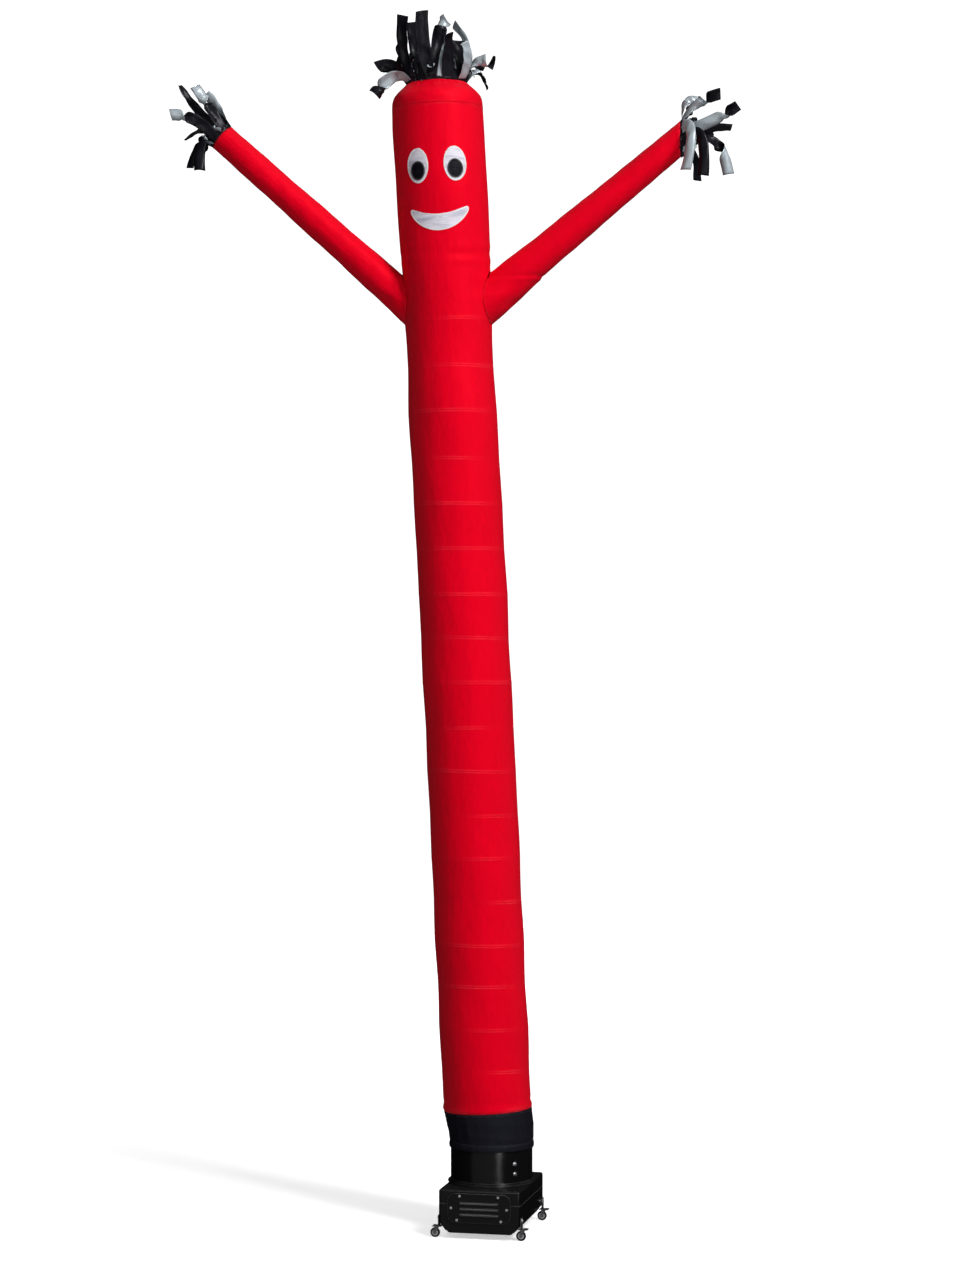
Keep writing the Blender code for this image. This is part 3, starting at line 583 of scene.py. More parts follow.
def smooth_line(points, count):
    """A smooth line through points, as a Catmull-Rom spline read at even steps."""
    points = np.asarray(points, float)
    ends = np.vstack([2 * points[0] - points[1], points, 2 * points[-1] - points[-2]])
    line = []
    for share in np.linspace(0.0, len(points) - 1, count):
        k = min(int(share), len(points) - 2)
        t = share - k
        a, b, c, d = ends[k:k + 4]
        bend = (2 * a - 5 * b + 4 * c - d) * t**2
        line.append(0.5 * (2 * b + (c - a) * t + bend + (3 * b - a - 3 * c + d) * t**3))
    return np.array(line)


# The figure's surface


SOFT_STRETCH = np.linspace(-0.05, 0.05, 11)


def spine(height):
    """Sideways offset and radius at heights, with the table's corners rounded."""
    stretched = np.asarray(height, float)[..., None] + SOFT_STRETCH
    offset = np.interp(stretched, SPINE[:, 0], SPINE[:, 1]).mean(-1)
    radius = np.interp(stretched, SPINE[:, 0], SPINE[:, 2]).mean(-1)
    return offset, radius


def section(height):
    """Middle, sideways and along directions, and radius of the sections at heights."""
    offset, radius = spine(height)
    leaning = np.maximum(height, LEAN_FROM)
    rise = spine(leaning + 0.02)[0] - spine(leaning - 0.02)[0]
    upright = soft_step(np.asarray(height, float), CUFF_BOTTOM, CUFF_SEAM)
    lean = (upright * np.arctan(rise / 0.04))[..., None]
    across = np.cos(lean) * SIDEWAYS - np.sin(lean) * UP
    along = np.sin(lean) * SIDEWAYS + np.cos(lean) * UP
    middle = BASE + offset[..., None] * SIDEWAYS + np.asarray(height, float)[..., None] * UP
    return middle, across, along, radius


CREASES = CUFF_SEAM + np.cumsum(CREASE_GAPS)
CREASE_SIGNS = np.where(np.arange(len(CREASES)) % 2, 1.0, -1.0)
SIDE_SLOPES = -CREASE_SLOPE + chance.uniform(-0.007, 0.004, len(CREASES))
FRONT_SLOPES = chance.uniform(-0.006, 0.006, len(CREASES))
SIDE_SLOPES[-1] = FRONT_SLOPES[-1] = 0.0
FADE_TURNS = chance.choice((1, 2), len(CREASES))
FADE_PHASES = chance.uniform(0.0, 0.9, len(CREASES))
WAVES = [
    (chance.uniform(0.5, 1.4), chance.integers(1, 4), chance.uniform(0, 2 * pi), 0.0007) for _ in range(5)
]


def slope(q, a):
    """How far a packing crease strays from its own height, round the tube."""
    heights = np.concatenate([[CUFF_SEAM], CREASES])
    side = np.interp(q, heights, np.concatenate([[0.0], SIDE_SLOPES]))
    front = np.interp(q, heights, np.concatenate([[0.0], FRONT_SLOPES]))
    return side * np.sin(a) + front * np.cos(a)


def crease_lines(q, a):
    """The two fine lines of each packing crease: 1 where sharp, and fading round the tube."""
    q, a = np.broadcast_arrays(np.asarray(q, float), np.asarray(a, float))
    distance = np.abs(q[..., None] - CREASES)
    fade = 0.10 + 0.90 * (0.5 + 0.5 * np.cos(FADE_TURNS * (a[..., None] - FADE_PHASES))) ** 2.5
    return (fade * hill(distance - CREASE_PAIR, CREASE_SHARP)).max(-1)


def arm_pull(q, a, radius):
    """Folds that run out from each arm's seam."""
    pull = 0.0
    for side, sign in (("left", -1), ("right", 1)):
        root_radius = ARMS[side]["radii"][0]
        x = radius * (np.mod(a - sign * pi / 2 + pi, 2 * pi) - pi)
        z = q - ARMS[side]["root"][1]
        distance = np.hypot(x, z)
        around = np.arctan2(z, x)
        spokes = np.cos(9 * around + 1.3 * sign) + 0.6 * np.cos(5 * around + 0.4)
        pull = pull + 0.0013 * spokes * hill(distance - root_radius - 0.055, 0.05)
        pull = pull + 0.0020 * hill(distance - root_radius - 0.020, 0.014)
    return pull


def neck_folds(q, a):
    """Short folds above the right arm, which fade towards the face and the left."""
    right = 0.35 + 0.65 * soft_step(np.sin(a), -0.2, 0.7)
    heights = (4.975, 5.000, 5.020, 5.036, 5.053, 5.070, 5.100)
    pinches = (0.0, 0.0028, 0.0, -0.0028, 0.0, 0.0020, 0.0)
    drift = 0.012 * np.sin(2 * a + 0.5)
    return right * np.interp(q + drift, heights, pinches)


def relief(q, a):
    """How far the cloth stands out from its round section at nominal height q."""
    radius = spine(q)[1]
    fold_heights = np.concatenate([[CUFF_SEAM], CREASES, [4.83]])
    folds = np.concatenate([[0.0], CREASE_FOLD * CREASE_SIGNS, [0.0]])
    out = np.interp(q, fold_heights, folds)
    out = out + CREASE_LINE * crease_lines(q, a)
    for length, turns, phase, size in WAVES:
        out = out + size * np.sin(2 * pi * q / length + turns * a + phase)
    out = out + arm_pull(q, a, radius) + neck_folds(q, a)
    calm = soft_step(q, CUFF_SEAM, CUFF_SEAM + 0.10) * (1 - soft_step(q, CAP_SEAM - 0.10, CAP_SEAM))
    puff = 0.0034 * hill(q - CUFF_SEAM - 0.016, 0.010) - 0.0030 * hill(q - CUFF_SEAM - 0.044, 0.015)
    puff = puff - 0.0010 * hill(q - CUFF_SEAM, 0.005)
    hem = puff - LAP_INSET * soft_step(q, CAP_SEAM, CAP_SEAM + 0.0008)
    seam = 0.0016 * hill(radius * (np.mod(a, 2 * pi) - pi), 0.006)
    return out * calm + hem + seam


def figure_point(q, a, proud=0.0):
    """A point of the figure's cloth: nominal height, angle from the face to the right, and
    distance proud of the cloth."""
    q, a = np.broadcast_arrays(np.asarray(q, float), np.asarray(a, float))
    middle, across, _, radius = section(q + slope(q, a))
    reach = (radius + relief(q, a) + proud)[..., None]
    return middle + reach * outwards(a, across)


def arm_axis(arm):
    root = BASE + arm["root"][0] * SIDEWAYS + arm["root"][1] * UP
    hand = BASE + arm["hand"][0] * SIDEWAYS + arm["hand"][1] * UP
    length = np.linalg.norm(hand - root)
    along = (hand - root) / length
    upper = np.cross(BACKWARDS, along)
    upper = upper * np.sign(upper[2])
    return root, along, upper, length


def bore_distance(points, arm):
    """Distance from an arm's bore: below 0 inside it."""
    root, along, _, _ = arm_axis(arm)
    apart = points - root
    travel = apart @ along
    off_axis = np.linalg.norm(apart - travel[..., None] * along, axis=-1)
    return np.where(travel > -0.16, off_axis - (arm["radii"][0] - NYLON - 0.002), 1.0)


def tube_rows():
    """Nominal heights of the tube's rows, close together at the packing creases."""
    near = np.array((-0.015, -0.0095, -0.006, -0.003, 0.0, 0.003, 0.006, 0.0095, 0.015))
    edges = np.concatenate([[CUFF_SEAM], CREASES])
    rows = [CREASES[:, None] + near]
    for low, high in zip(edges[:-1], edges[1:]):
        rows.append(np.linspace(low + near[-1], high - near[-1], 8)[1:-1])
    rows.append(CUFF_SEAM + np.array((0.0, 0.004, 0.010, 0.018)))
    rows.append(np.arange(CREASES[-1] + 0.027, CAP_SEAM - 0.02, 0.0125))
    rows.append(CAP_SEAM - np.array((-LAP, -0.0008, 0.0, 0.0015, 0.005, 0.012, 0.020)))
    return np.unique(np.concatenate([np.ravel(r) for r in rows]).round(5))


# Rows this near an arm's hole move onto its edge, by steps read at a small distance
HOLE_SNAP = 0.0075
HOLE_STEPS = 4
HOLE_PROBE = 0.0005
HOLE_EDGE = 0.0002


def moved_to_hole(q, a, points, arm):
    """Points near an arm's hole moved along the tube onto its edge."""
    gap = bore_distance(points, arm)
    near = np.abs(gap) < HOLE_SNAP
    for _ in range(HOLE_STEPS):
        higher = bore_distance(figure_point(q[near] + HOLE_PROBE, a[near]), arm)
        beside = bore_distance(figure_point(q[near], a[near] + HOLE_PROBE), arm)
        up = (higher - gap[near]) / HOLE_PROBE
        across = (beside - gap[near]) / HOLE_PROBE
        size = up**2 + (across / TUBE_RADIUS) ** 2
        q[near] -= gap[near] * up / size
        a[near] -= gap[near] * across / TUBE_RADIUS**2 / size
        points[near] = figure_point(q[near], a[near])
        gap = bore_distance(points, arm)


def make_tube():
    """The long red tube, with a round hole for each arm."""
    rows = tube_rows()
    angles = np.linspace(-pi, pi, TUBE_SIDES + 1)
    q, a = np.meshgrid(rows, angles[:-1], indexing="ij")
    points = figure_point(q, a)
    for arm in ARMS.values():
        moved_to_hole(q, a, points, arm)
    mesh = ring_mesh("tube_cloth", points, cut_grid(rows, angles * TUBE_RADIUS), RED_NYLON)
    # Painted highlight: a lighter line on the puff just above the cuff's seam, brightest to both sides of
    # the front.
    painted_hem_highlight = 0.9 * hill(q - CUFF_SEAM - 0.014, 0.006) * (0.55 - 0.45 * np.cos(4.2 * a))
    mark(mesh, "crease", np.maximum(crease_lines(q, a), painted_hem_highlight))
    holes = np.zeros(points.shape[:2], bool)
    for arm in ARMS.values():
        holes |= bore_distance(points, arm) < HOLE_EDGE
    inside = holes.ravel()
    doomed = [p.index for p in mesh.polygons if all(inside[v] for v in p.vertices)]
    return cut_away(mesh, doomed)


def cut_away(mesh, doomed):
    bm = bmesh.new()
    bm.from_mesh(mesh)
    bm.faces.ensure_lookup_table()
    bmesh.ops.delete(bm, geom=[bm.faces[k] for k in doomed], context="FACES")
    bm.to_mesh(mesh)
    bm.free()
    return mesh


def cap_point(height, radius, a, proud=0.0):
    middle, across, along, _ = section(np.array(CAP_SEAM))
    lift = np.asarray(height + SEAM_GAP)[..., None] * along
    return middle + lift + (radius + proud)[..., None] * outwards(a, across)


def make_cap():
    line = smooth_line(CAP_PROFILE, CAP_ROWS)
    angles = np.linspace(-pi, pi, TUBE_SIDES + 1)
    height, a = np.meshgrid(line[:, 0], angles[:-1], indexing="ij")
    radius = np.broadcast_to(line[:, 1:2], a.shape)
    gather = soft_step(height, 0.07, 0.13) * 0.0022 * np.cos(34 * a + 2 * np.sin(5 * a))
    soft = 0.0015 * soft_step(height, 0.02, 0.06) * np.sin(7 * a + 1.0)
    points = cap_point(height, radius, a, gather + soft)
    cut = cut_grid(travel_along(line), angles * TUBE_RADIUS)
    mesh = ring_mesh("cap_cloth", points, cut, RED_NYLON)
    mark(mesh, "crease", np.zeros(height.shape))
    return mesh


def make_cuff():
    """The black cuff, gathered on the collar, with its puffed hem."""
    heights = np.concatenate([
        CUFF_BOTTOM + 0.032 * (1 - np.cos(np.linspace(0, pi, 12))) / 2,
        np.linspace(CUFF_BOTTOM + 0.036, CUFF_SEAM - 0.0015, 34),
        (CUFF_SEAM - SEAM_GAP, CUFF_SEAM + 0.0005, CUFF_SEAM + LAP),
    ])
    angles = np.linspace(-pi, pi, TUBE_SIDES + 1)
    q, a = np.meshgrid(heights, angles[:-1], indexing="ij")
    middle, across, _, radius = section(q)
    fade = soft_step(q, CUFF_BOTTOM + 0.03, CUFF_BOTTOM + 0.06) * (1 - soft_step(q, 0.53, 0.62))
    pleat = np.cos(26 * a + 1.4 * np.sin(3 * a + 9 * q)) + 0.6 * np.cos(17 * a + 1.1)
    gathers = 0.0022 * fade * np.clip(pleat, 0.0, None)
    edge = q - CUFF_BOTTOM
    round_hem = np.sqrt(np.clip(1 - ((edge - 0.015) / 0.0165) ** 2, 0.0, None))
    hem = 0.0034 * round_hem * (1 + 0.25 * np.cos(31 * a))
    slack = 0.0016 * fade * np.sin(2 * pi * q / 0.07 + 2 * a)
    top = -LAP_INSET * soft_step(q, CUFF_SEAM - 0.002, CUFF_SEAM - SEAM_GAP)
    reach = (radius + gathers + hem + np.clip(slack, 0.0, None) + top)[..., None]
    points = middle + reach * outwards(a, across)
    mesh = ring_mesh("cuff_cloth", points, cut_grid(heights, angles * CUFF_RADIUS), BLACK_NYLON)
    mark(mesh, "crease", 0.6 * hill(q - CUFF_BOTTOM - 0.0325, 0.002))
    return mesh


def arm_point(arm, travel, a, proud=0.0):
    """A point of an arm's cloth at a travel in metres from its root."""
    root, along, upper, length = arm_axis(arm)
    share = np.clip(travel / length, -0.2, 1.0)
    taper = np.interp(share, ARM_STATIONS[:, 0], ARM_STATIONS[:, 1])
    soft = np.asarray(share)[..., None] + np.linspace(-0.03, 0.03, 7)
    pinch = np.interp(soft, ARM_STATIONS[:, 0], ARM_STATIONS[:, 2]).mean(-1)
    radius = arm["radii"][0] + taper * (arm["radii"][1] - arm["radii"][0]) + pinch
    radius = radius + arm_relief(arm, travel, a, length) + proud
    direction = np.cos(a)[..., None] * -BACKWARDS + np.sin(a)[..., None] * upper
    return root + travel[..., None] * along + radius[..., None] * direction


def arm_relief(arm, travel, a, length):
    """Soft folds of the sleeve, and the fold across the right one where it leaves the tube."""
    near_root = hill(travel - 0.06, 0.07)
    phase = arm["slant"] * 3
    out = 0.0016 * near_root * np.cos(6 * a + 25 * travel + phase)
    out = out + 0.0007 * np.sin(2 * pi * travel / 0.37 + 2 * a + phase)
    out = out + 0.0005 * np.sin(2 * pi * travel / 0.13 - 3 * a + 2 * phase)
    past = travel - 0.13 + 0.12 * np.sin(a)
    flare = 2.2 * np.clip(-past / 0.13, 0.0, 1.0)
    out = out + arm["fold"] * (flare + hill(past, 0.011) - hill(past - 0.024, 0.013))
    calm = soft_step(length - travel, 0.0, 0.08)
    return out * calm + 0.0010 * hill(length - travel, 0.012)


def arm_start(arm, a):
    """Travel at which the sleeve's cloth leaves the tube's surface, at angles round it."""
    low = np.full(a.shape, -0.15)
    high = np.full(a.shape, 0.40)
    for _ in range(30):
        travel = (low + high) / 2
        points = arm_point(arm, travel, a)
        height = points[..., 2]
        middle, across, along, radius = section(height)
        apart = points - middle
        off = apart - (apart * along).sum(-1)[..., None] * along
        turn = np.arctan2((off * across).sum(-1), -(off @ BACKWARDS))
        outside = np.linalg.norm(off, axis=-1) > radius + relief(height, turn) + SEAM_GAP
        high = np.where(outside, travel, high)
        low = np.where(outside, low, travel)
    return high


def arm_end(arm, a, short=0.0):
    """Travel of the hand's edge, which may be slanted, at angles round it."""
    length = arm_axis(arm)[3]
    return length - short + tan(arm["slant"]) * arm["radii"][1] * np.sin(a)


def make_arm(side):
    arm = ARMS[side]
    angles = np.linspace(0, 2 * pi, ARM_SIDES + 1)
    start = arm_start(arm, angles[:-1])
    end = arm_end(arm, angles[:-1])
    near_root = np.linspace(0, 0.04, 8)[:-1]
    shares = np.concatenate([near_root, np.linspace(0.04, 0.97, ARM_ROWS), (0.98, 0.99, 1.0)])
    travel = start + shares[:, None] * (end - start)
    a = np.broadcast_to(angles[:-1], travel.shape)
    lip = 0.0012 * hill(travel - start, 0.006)
    points = arm_point(arm, travel, a, lip)
    wrapped = np.concatenate([travel, travel[:, :1]], axis=1)
    cut = np.stack([np.broadcast_to(angles * ARM_RADIUS, wrapped.shape), wrapped], -1)
    normal = np.cross(points[5, 1] - points[5, 0], points[6, 0] - points[5, 0])
    back = np.dot(normal, points[5, 0] - points[5].mean(0)) < 0
    mesh = ring_mesh(f"arm_{side}_cloth", points, cut, RED_NYLON, bool(back))
    mark(mesh, "crease", np.zeros(travel.shape))
    return mesh


# The face


def face_point(x, z, proud):
    """A point on the head's front from its place on the flat face."""
    q = FACE_HEIGHT + np.asarray(z, float)
    radius = spine(q)[1]
    return figure_point(q, np.arcsin(np.asarray(x) / radius), proud)


def oval(middle, half, count):
    t = np.linspace(0, 2 * pi, count + 1)[:-1]
    return np.stack([middle[0] + half[0] * np.cos(t), middle[1] + half[1] * np.sin(t)], -1)


def arc(half_width, sag, count):
    """A round arc hanging by sag below its ends."""
    radius = (half_width**2 + sag**2) / (2 * sag)
    reach = np.arcsin(min(half_width / radius, 1.0))
    if sag > radius:
        reach = pi - reach
    t = np.linspace(-reach, reach, count)
    return np.stack([radius * np.sin(t), MOUTH_CORNER + radius - sag - radius * np.cos(t)], -1)


def patch_rings(outline, middle, proud):
    """Rings of a patch from its outline in to a small middle ring."""
    shares = np.linspace(1.0, 0.02, PATCH_RINGS)
    flat = np.asarray(middle) + shares[:, None, None] * (outline - np.asarray(middle))
    closed = np.concatenate([flat, flat[:, :1]], axis=1)
    puff = 0.0008 * np.sqrt(1 - shares**2)[:, None]
    return face_point(flat[..., 0], flat[..., 1], proud + puff), closed


def rim_strip(outline, proud):
    """A raised satin stitch along a closed outline: rows across it, columns along it."""
    ahead = np.roll(outline, -1, axis=0) - np.roll(outline, 1, axis=0)
    ahead = ahead / np.linalg.norm(ahead, axis=1)[:, None]
    inward = np.stack([-ahead[:, 1], ahead[:, 0]], -1)
    along = travel_along(closed_line(outline))
    rows, cuts = [], []
    for share in np.linspace(0.0, 1.0, 7):
        flat = outline + (share - 0.08) * RIM_WIDTH * inward
        lift = RIM_HEIGHT * np.sin(pi * share) ** 0.6
        rows.append(face_point(flat[:, 0], flat[:, 1], proud + lift))
        cuts.append(np.stack([along, np.full(len(along), share * RIM_WIDTH)], -1))
    return np.array(rows), np.array(cuts)


def resample(outline, step):
    closed = closed_line(outline)
    travel = travel_along(closed)
    places = np.linspace(0, travel[-1], int(travel[-1] / step) + 1)[:-1]
    return np.stack([np.interp(places, travel, closed[:, k]) for k in (0, 1)], -1)


def mouth_outline():
    """The crescent between two arcs, with blunt round ends."""
    sags = (MOUTH_LOWER_SAG, MOUTH_UPPER_SAG)
    lower, upper = (arc(MOUTH_HALF_WIDTH, sag, 81)[4:-4] for sag in sags)
    outline = resample(np.vstack([lower, upper[::-1]]), 0.004)
    for _ in range(8):
        outline = (np.roll(outline, 1, axis=0) + 2 * outline + np.roll(outline, -1, axis=0)) / 4
    return outline


def sew_patch(node, outline, rim_outline, middle, proud, paints, slot, size, area):
    """A patch in place of its solid, with its stitched rim."""
    points, flat = patch_rings(outline, middle, proud)
    mesh = ring_mesh(f"{node}_patch", points, flat, paints[0])
    patch = piece(f"{node}_patch", mesh, replaces=[node])
    thicken(patch, PATCH)
    points, cuts = rim_strip(rim_outline, proud)
    rim = piece(f"{node}_rim", ring_mesh("rim", points, cuts, paints[1]))


def make_face():
    """Two eyes and the mouth."""
    on_head = 0.0012
    on_eye = on_head + PATCH + 0.0012
    white, black = (WHITE_SATIN, WHITE_EDGING), (BLACK_SATIN, BLACK_EDGING)
    for side, x in (("left", -EYE_X), ("right", EYE_X)):
        for part, middle, half, proud, paints, slot in (
            ("eye_white", (x, 0.0), EYE_HALF, on_head, white, "white_satin"),
            ("pupil", (x, -PUPIL_DROP), PUPIL_HALF, on_eye, black, "black_satin"),
        ):
            outlines = oval(middle, half, 72), oval(middle, half, 120)
            size = (2 * half[0], 2 * half[1])
            sew_patch(f"{part}_{side}", *outlines, middle, proud, paints, slot, size, pi * half[0] * half[1])
    outline = mouth_outline()
    size = np.ptp(outline, axis=0).round(3)
    ahead = np.roll(outline, -1, axis=0)
    area = abs(np.sum(outline[:, 0] * ahead[:, 1] - ahead[:, 0] * outline[:, 1])) / 2
    middle = outline.mean(axis=0)
    size = (float(size[0]), float(size[1]))
    sew_patch("mouth", outline, outline, middle, on_head, white, "white_satin", size, round(float(area), 4))


# The streamers


def turned_about(vectors, axis, angle):
    """Vectors turned about an axis by angles."""
    c, s = np.cos(angle)[:, None], np.sin(angle)[:, None]
    dot = (vectors * axis).sum(-1)[:, None]
    return vectors * c + np.cross(axis, vectors) * s + axis * dot * (1 - c)


def in_figure(offset):
    return offset[0] * SIDEWAYS + offset[1] * BACKWARDS + offset[2] * UP


def strip_part(root, flat, knee, tip, twist, width, shows, fold):
    """The grid of one cut strip, with its crinkles, and whether its faces look back."""
    bend = 2 * knee - tip / 2
    shares = np.linspace(0, 1, STRIP_ROWS + 1)[:, None]
    middle = root + 2 * shares * (1 - shares) * bend + shares**2 * tip
    heading = 2 * (1 - 2 * shares) * bend + 2 * shares * tip
    heading = heading / np.linalg.norm(heading, axis=1)[:, None]
    flats = []
    for direction in heading:
        flat = flat - flat.dot(direction) * direction
        flat = flat / np.linalg.norm(flat)
        flats.append(flat)
    over = pi * soft_step(shares[:, 0], fold - FOLD_REACH, fold + FOLD_REACH) if fold else 0.0
    flats = turned_about(np.array(flats), heading, twist * shares[:, 0] + over)
    normals = np.cross(heading, flats)
    spread = DRAWN_IN + (1 - DRAWN_IN) * np.minimum(shares / DRAWN_LENGTH, 1.0)
    x = np.linspace(-1, 1, STRIP_COLUMNS + 1)
    phase = chance.uniform(0, 2 * pi)
    turns = chance.uniform(1.5, 2.6)
    lean = chance.uniform(-0.14, 0.14)
    free = soft_step(shares, 0.05, 0.4)
    cupped = 0.20 * free + (0.22 * hill(shares - fold, 0.13) if fold else 0.0)
    curl = width * (0.10 * free * np.sin(turns * pi * shares + phase) + cupped) * (1 - x**2)
    ripple = 0.0022 * free * np.sin(2 * pi * shares * 3.1 + 2.2 * x + phase)
    slanted = lean * width * soft_step(shares, 0.85, 1.0) * x
    points = middle[:, None] + (spread * width / 2 * x)[..., None] * flats[:, None]
    points = points + (curl + ripple)[..., None] * normals[:, None] + slanted[..., None] * heading[:, None]
    length = np.linalg.norm(np.diff(middle, axis=0), axis=1).sum()
    cut = np.stack(np.broadcast_arrays(x * width / 2 + 3 * phase, shares * length), -1)
    row, column = STRIP_ROWS // 2, STRIP_COLUMNS // 2
    corner = points[row, column]
    to_camera = np.array(CAMERA_PLACE) - middle[row]
    normal = np.cross(points[row + 1, column] - corner, points[row, column + 1] - corner)
    faces_camera = np.dot(-normal, to_camera) > 0
    return points, cut, False, faces_camera != (shows == "silver"), length


def short_strips(count, reach, width, along):
    """Short crumpled strips that fill the tuft, as rows for strip_part with their widths."""
    made = []
    for place in np.linspace(-180, 180, count, endpoint=False) + chance.uniform(-5, 5, count):
        lean = chance.uniform(-0.35, 0.35, 3)
        knee = reach * (0.75 * along + 0.8 * lean)
        tip = reach * (chance.uniform(0.35, 1.0) * along + 1.3 * lean + chance.uniform(-0.3, 0.3, 3))
        shows = "silver" if chance.uniform() < 0.22 else "black"
        fold = chance.choice((0.0, 0.5, 0.7))
        twist = chance.uniform(-70, 70)
        made.append((place, knee, tip, twist, shows, fold, width * chance.uniform(0.7, 1.1)))
    return made


def make_streamers(name, opening, strips, short, width, node):
    """A folded band along an opening's edge and the strips sewn into it. The opening's points
    are middle + radius * (first * cos + second * sin), slanted along the tube."""
    middle, first, second, along, slant, radius, gap = opening
    count = 96 if radius > 0.1 else 60
    angles = np.linspace(0, 2 * pi, count + 1)

    def edge_point(a, travel, proud=0.0):
        a = np.asarray(a, float)
        reach = radius + proud
        flat = np.cos(a)[..., None] * first + np.sin(a)[..., None] * second
        shift = travel + slant * radius * np.sin(a)
        return middle + np.asarray(reach)[..., None] * flat + np.asarray(shift)[..., None] * along

    levels = np.array((0.0, 0.002, 0.010, 0.018, 0.020))
    proud = np.array((-0.0010, 0.0, 0.0006, 0.0, -0.0010))
    travel, a = np.meshgrid(gap + levels, angles[:-1], indexing="ij")
    pucker = 0.0007 * np.cos(30 * a + np.sin(4 * a))
    points = edge_point(a, travel, proud[:, None] + pucker)
    cut = cut_grid(levels, angles * radius)
    turned_in = np.dot(np.cross(first, second), along) > 0
    parts = [(points, cut, True, turned_in)]
    rows = [(p, in_figure(k), in_figure(t), *rest, width) for p, k, t, *rest in strips]
    rows += short_strips(*short, along)
    areas, lengths = [], []
    for place, knee, tip, twist, shows, fold, across in rows:
        a = radians(place)
        tangent = -sin(a) * first + cos(a) * second + slant * cos(a) * along
        root = edge_point(a, gap + BAND_HEIGHT / 2, -0.0008)
        tangent = tangent / np.linalg.norm(tangent)
        made = strip_part(root, tangent, knee, tip, radians(twist), across, shows, fold)
        parts.append(made[:4])
        lengths.append(made[4])
        areas.append(made[4] * across)
    mesh = grid_mesh(name, parts, [SILVER_SIDE, BLACK_SIDE])
    made = piece(name, mesh, replaces=[node])
    thicken(made, RIBBON, 0.0, 1)


def make_all_streamers():
    middle, across, along, _ = section(np.array(CAP_SEAM))
    brim = middle + (SEAM_GAP + CAP_PROFILE[-1, 0]) * along
    opening = (brim, -BACKWARDS, across, along, 0.0, CAP_PROFILE[-1, 1], SEAM_GAP)
    make_streamers("hair_ribbons", opening, HAIR, HAIR_SHORT, HAIR_WIDTH, "hair_streamers")
    for side, arm in ARMS.items():
        root, along, upper, length = arm_axis(arm)
        hand = root + length * along
        opening = (hand, -BACKWARDS, upper, along, tan(arm["slant"]), arm["radii"][1], HAND_BAND_GAP)
        make_streamers(
            f"hand_ribbons_{side}", opening, HAND_STRIPS[side], HAND_SHORT, HAND_STRIP_WIDTH,
            f"hand_streamers_{side}",
        )


# Stitches


def stitch_row(points):
    """Stitches along a closed line of points on the cloth, each a thin spindle."""
    closed = closed_line(points)
    travel = travel_along(closed)
    count = int(travel[-1] / STITCH_PITCH)
    places = (np.arange(count) + 0.5) * travel[-1] / count
    centre = points.mean(0)

    def at(place):
        place = np.mod(place, travel[-1])
        return np.stack([np.interp(place, travel, closed[:, k]) for k in range(3)], -1)

    start, end = at(places - STITCH_LENGTH / 2), at(places + STITCH_LENGTH / 2)
    ahead = end - start
    ahead = ahead / np.linalg.norm(ahead, axis=1)[:, None]
    out = (start + end) / 2 - centre
    out = out - (out * ahead).sum(1)[:, None] * ahead
    out = out / np.linalg.norm(out, axis=1)[:, None]
    beside = np.cross(ahead, out)
    middle = (start + end) / 2
    ring = [middle + STITCH_RADIUS * (cos(t) * out + sin(t) * beside) for t in np.arange(4) * pi / 2]
    return np.stack([start, *ring, end], 1)


def thread_mesh(name, rows, used):
    spindles = np.concatenate([stitch_row(row) for row in rows])
    faces = []
    for k in range(len(spindles)):
        for r in range(4):
            here, there = 1 + r, 1 + (r + 1) % 4
            faces.append([6 * k, 6 * k + there, 6 * k + here])
            faces.append([6 * k + 5, 6 * k + here, 6 * k + there])
    mesh = bpy.data.meshes.new(name)
    mesh.from_pydata(spindles.reshape(-1, 3).tolist(), [], faces)
    layer = mesh.uv_layers.new(name="cut")
    layer.data.foreach_set("uv", np.tile(np.array((0, 0, 0.001, 0, 0, 0.001), np.float32), len(faces)))
    mesh.materials.append(used)
    mesh.shade_smooth()
    return mesh


def make_stitches():
    """Two rows of stitches at each seam of the figure."""
    turn = np.linspace(0, 2 * pi, 181)[:-1]
    lift = STITCH_RADIUS * 0.6
    red = []
    for away in (0.004, 0.004 + STITCH_ROWS_APART):
        red.append(figure_point(CUFF_SEAM + away, turn, lift))
        red.append(figure_point(CAP_SEAM - away, turn, lift))
        cap_radius = np.full(180, np.interp(away, *CAP_PROFILE.T))
        red.append(cap_point(np.full(180, away), cap_radius, turn, 0.0008 + lift))
        for arm in ARMS.values():
            start = arm_start(arm, turn)
            red.append(arm_point(arm, start + away, turn, 0.0012 * hill(away, 0.006) + lift))
            red.append(arm_point(arm, arm_end(arm, turn, away), turn, lift))
    black = []
    for height in (CUFF_SEAM - 0.005, CUFF_SEAM - 0.011, CUFF_BOTTOM + 0.0345):
        middle, across, _, radius = section(np.full(180, height))
        reach = (radius + 0.0008 + lift)[:, None]
        black.append(middle + reach * outwards(turn, across))
    piece("red_stitching", thread_mesh("red_stitching", red, RED_THREAD))
    piece("black_stitching", thread_mesh("black_stitching", black, BLACK_THREAD))


# The blower


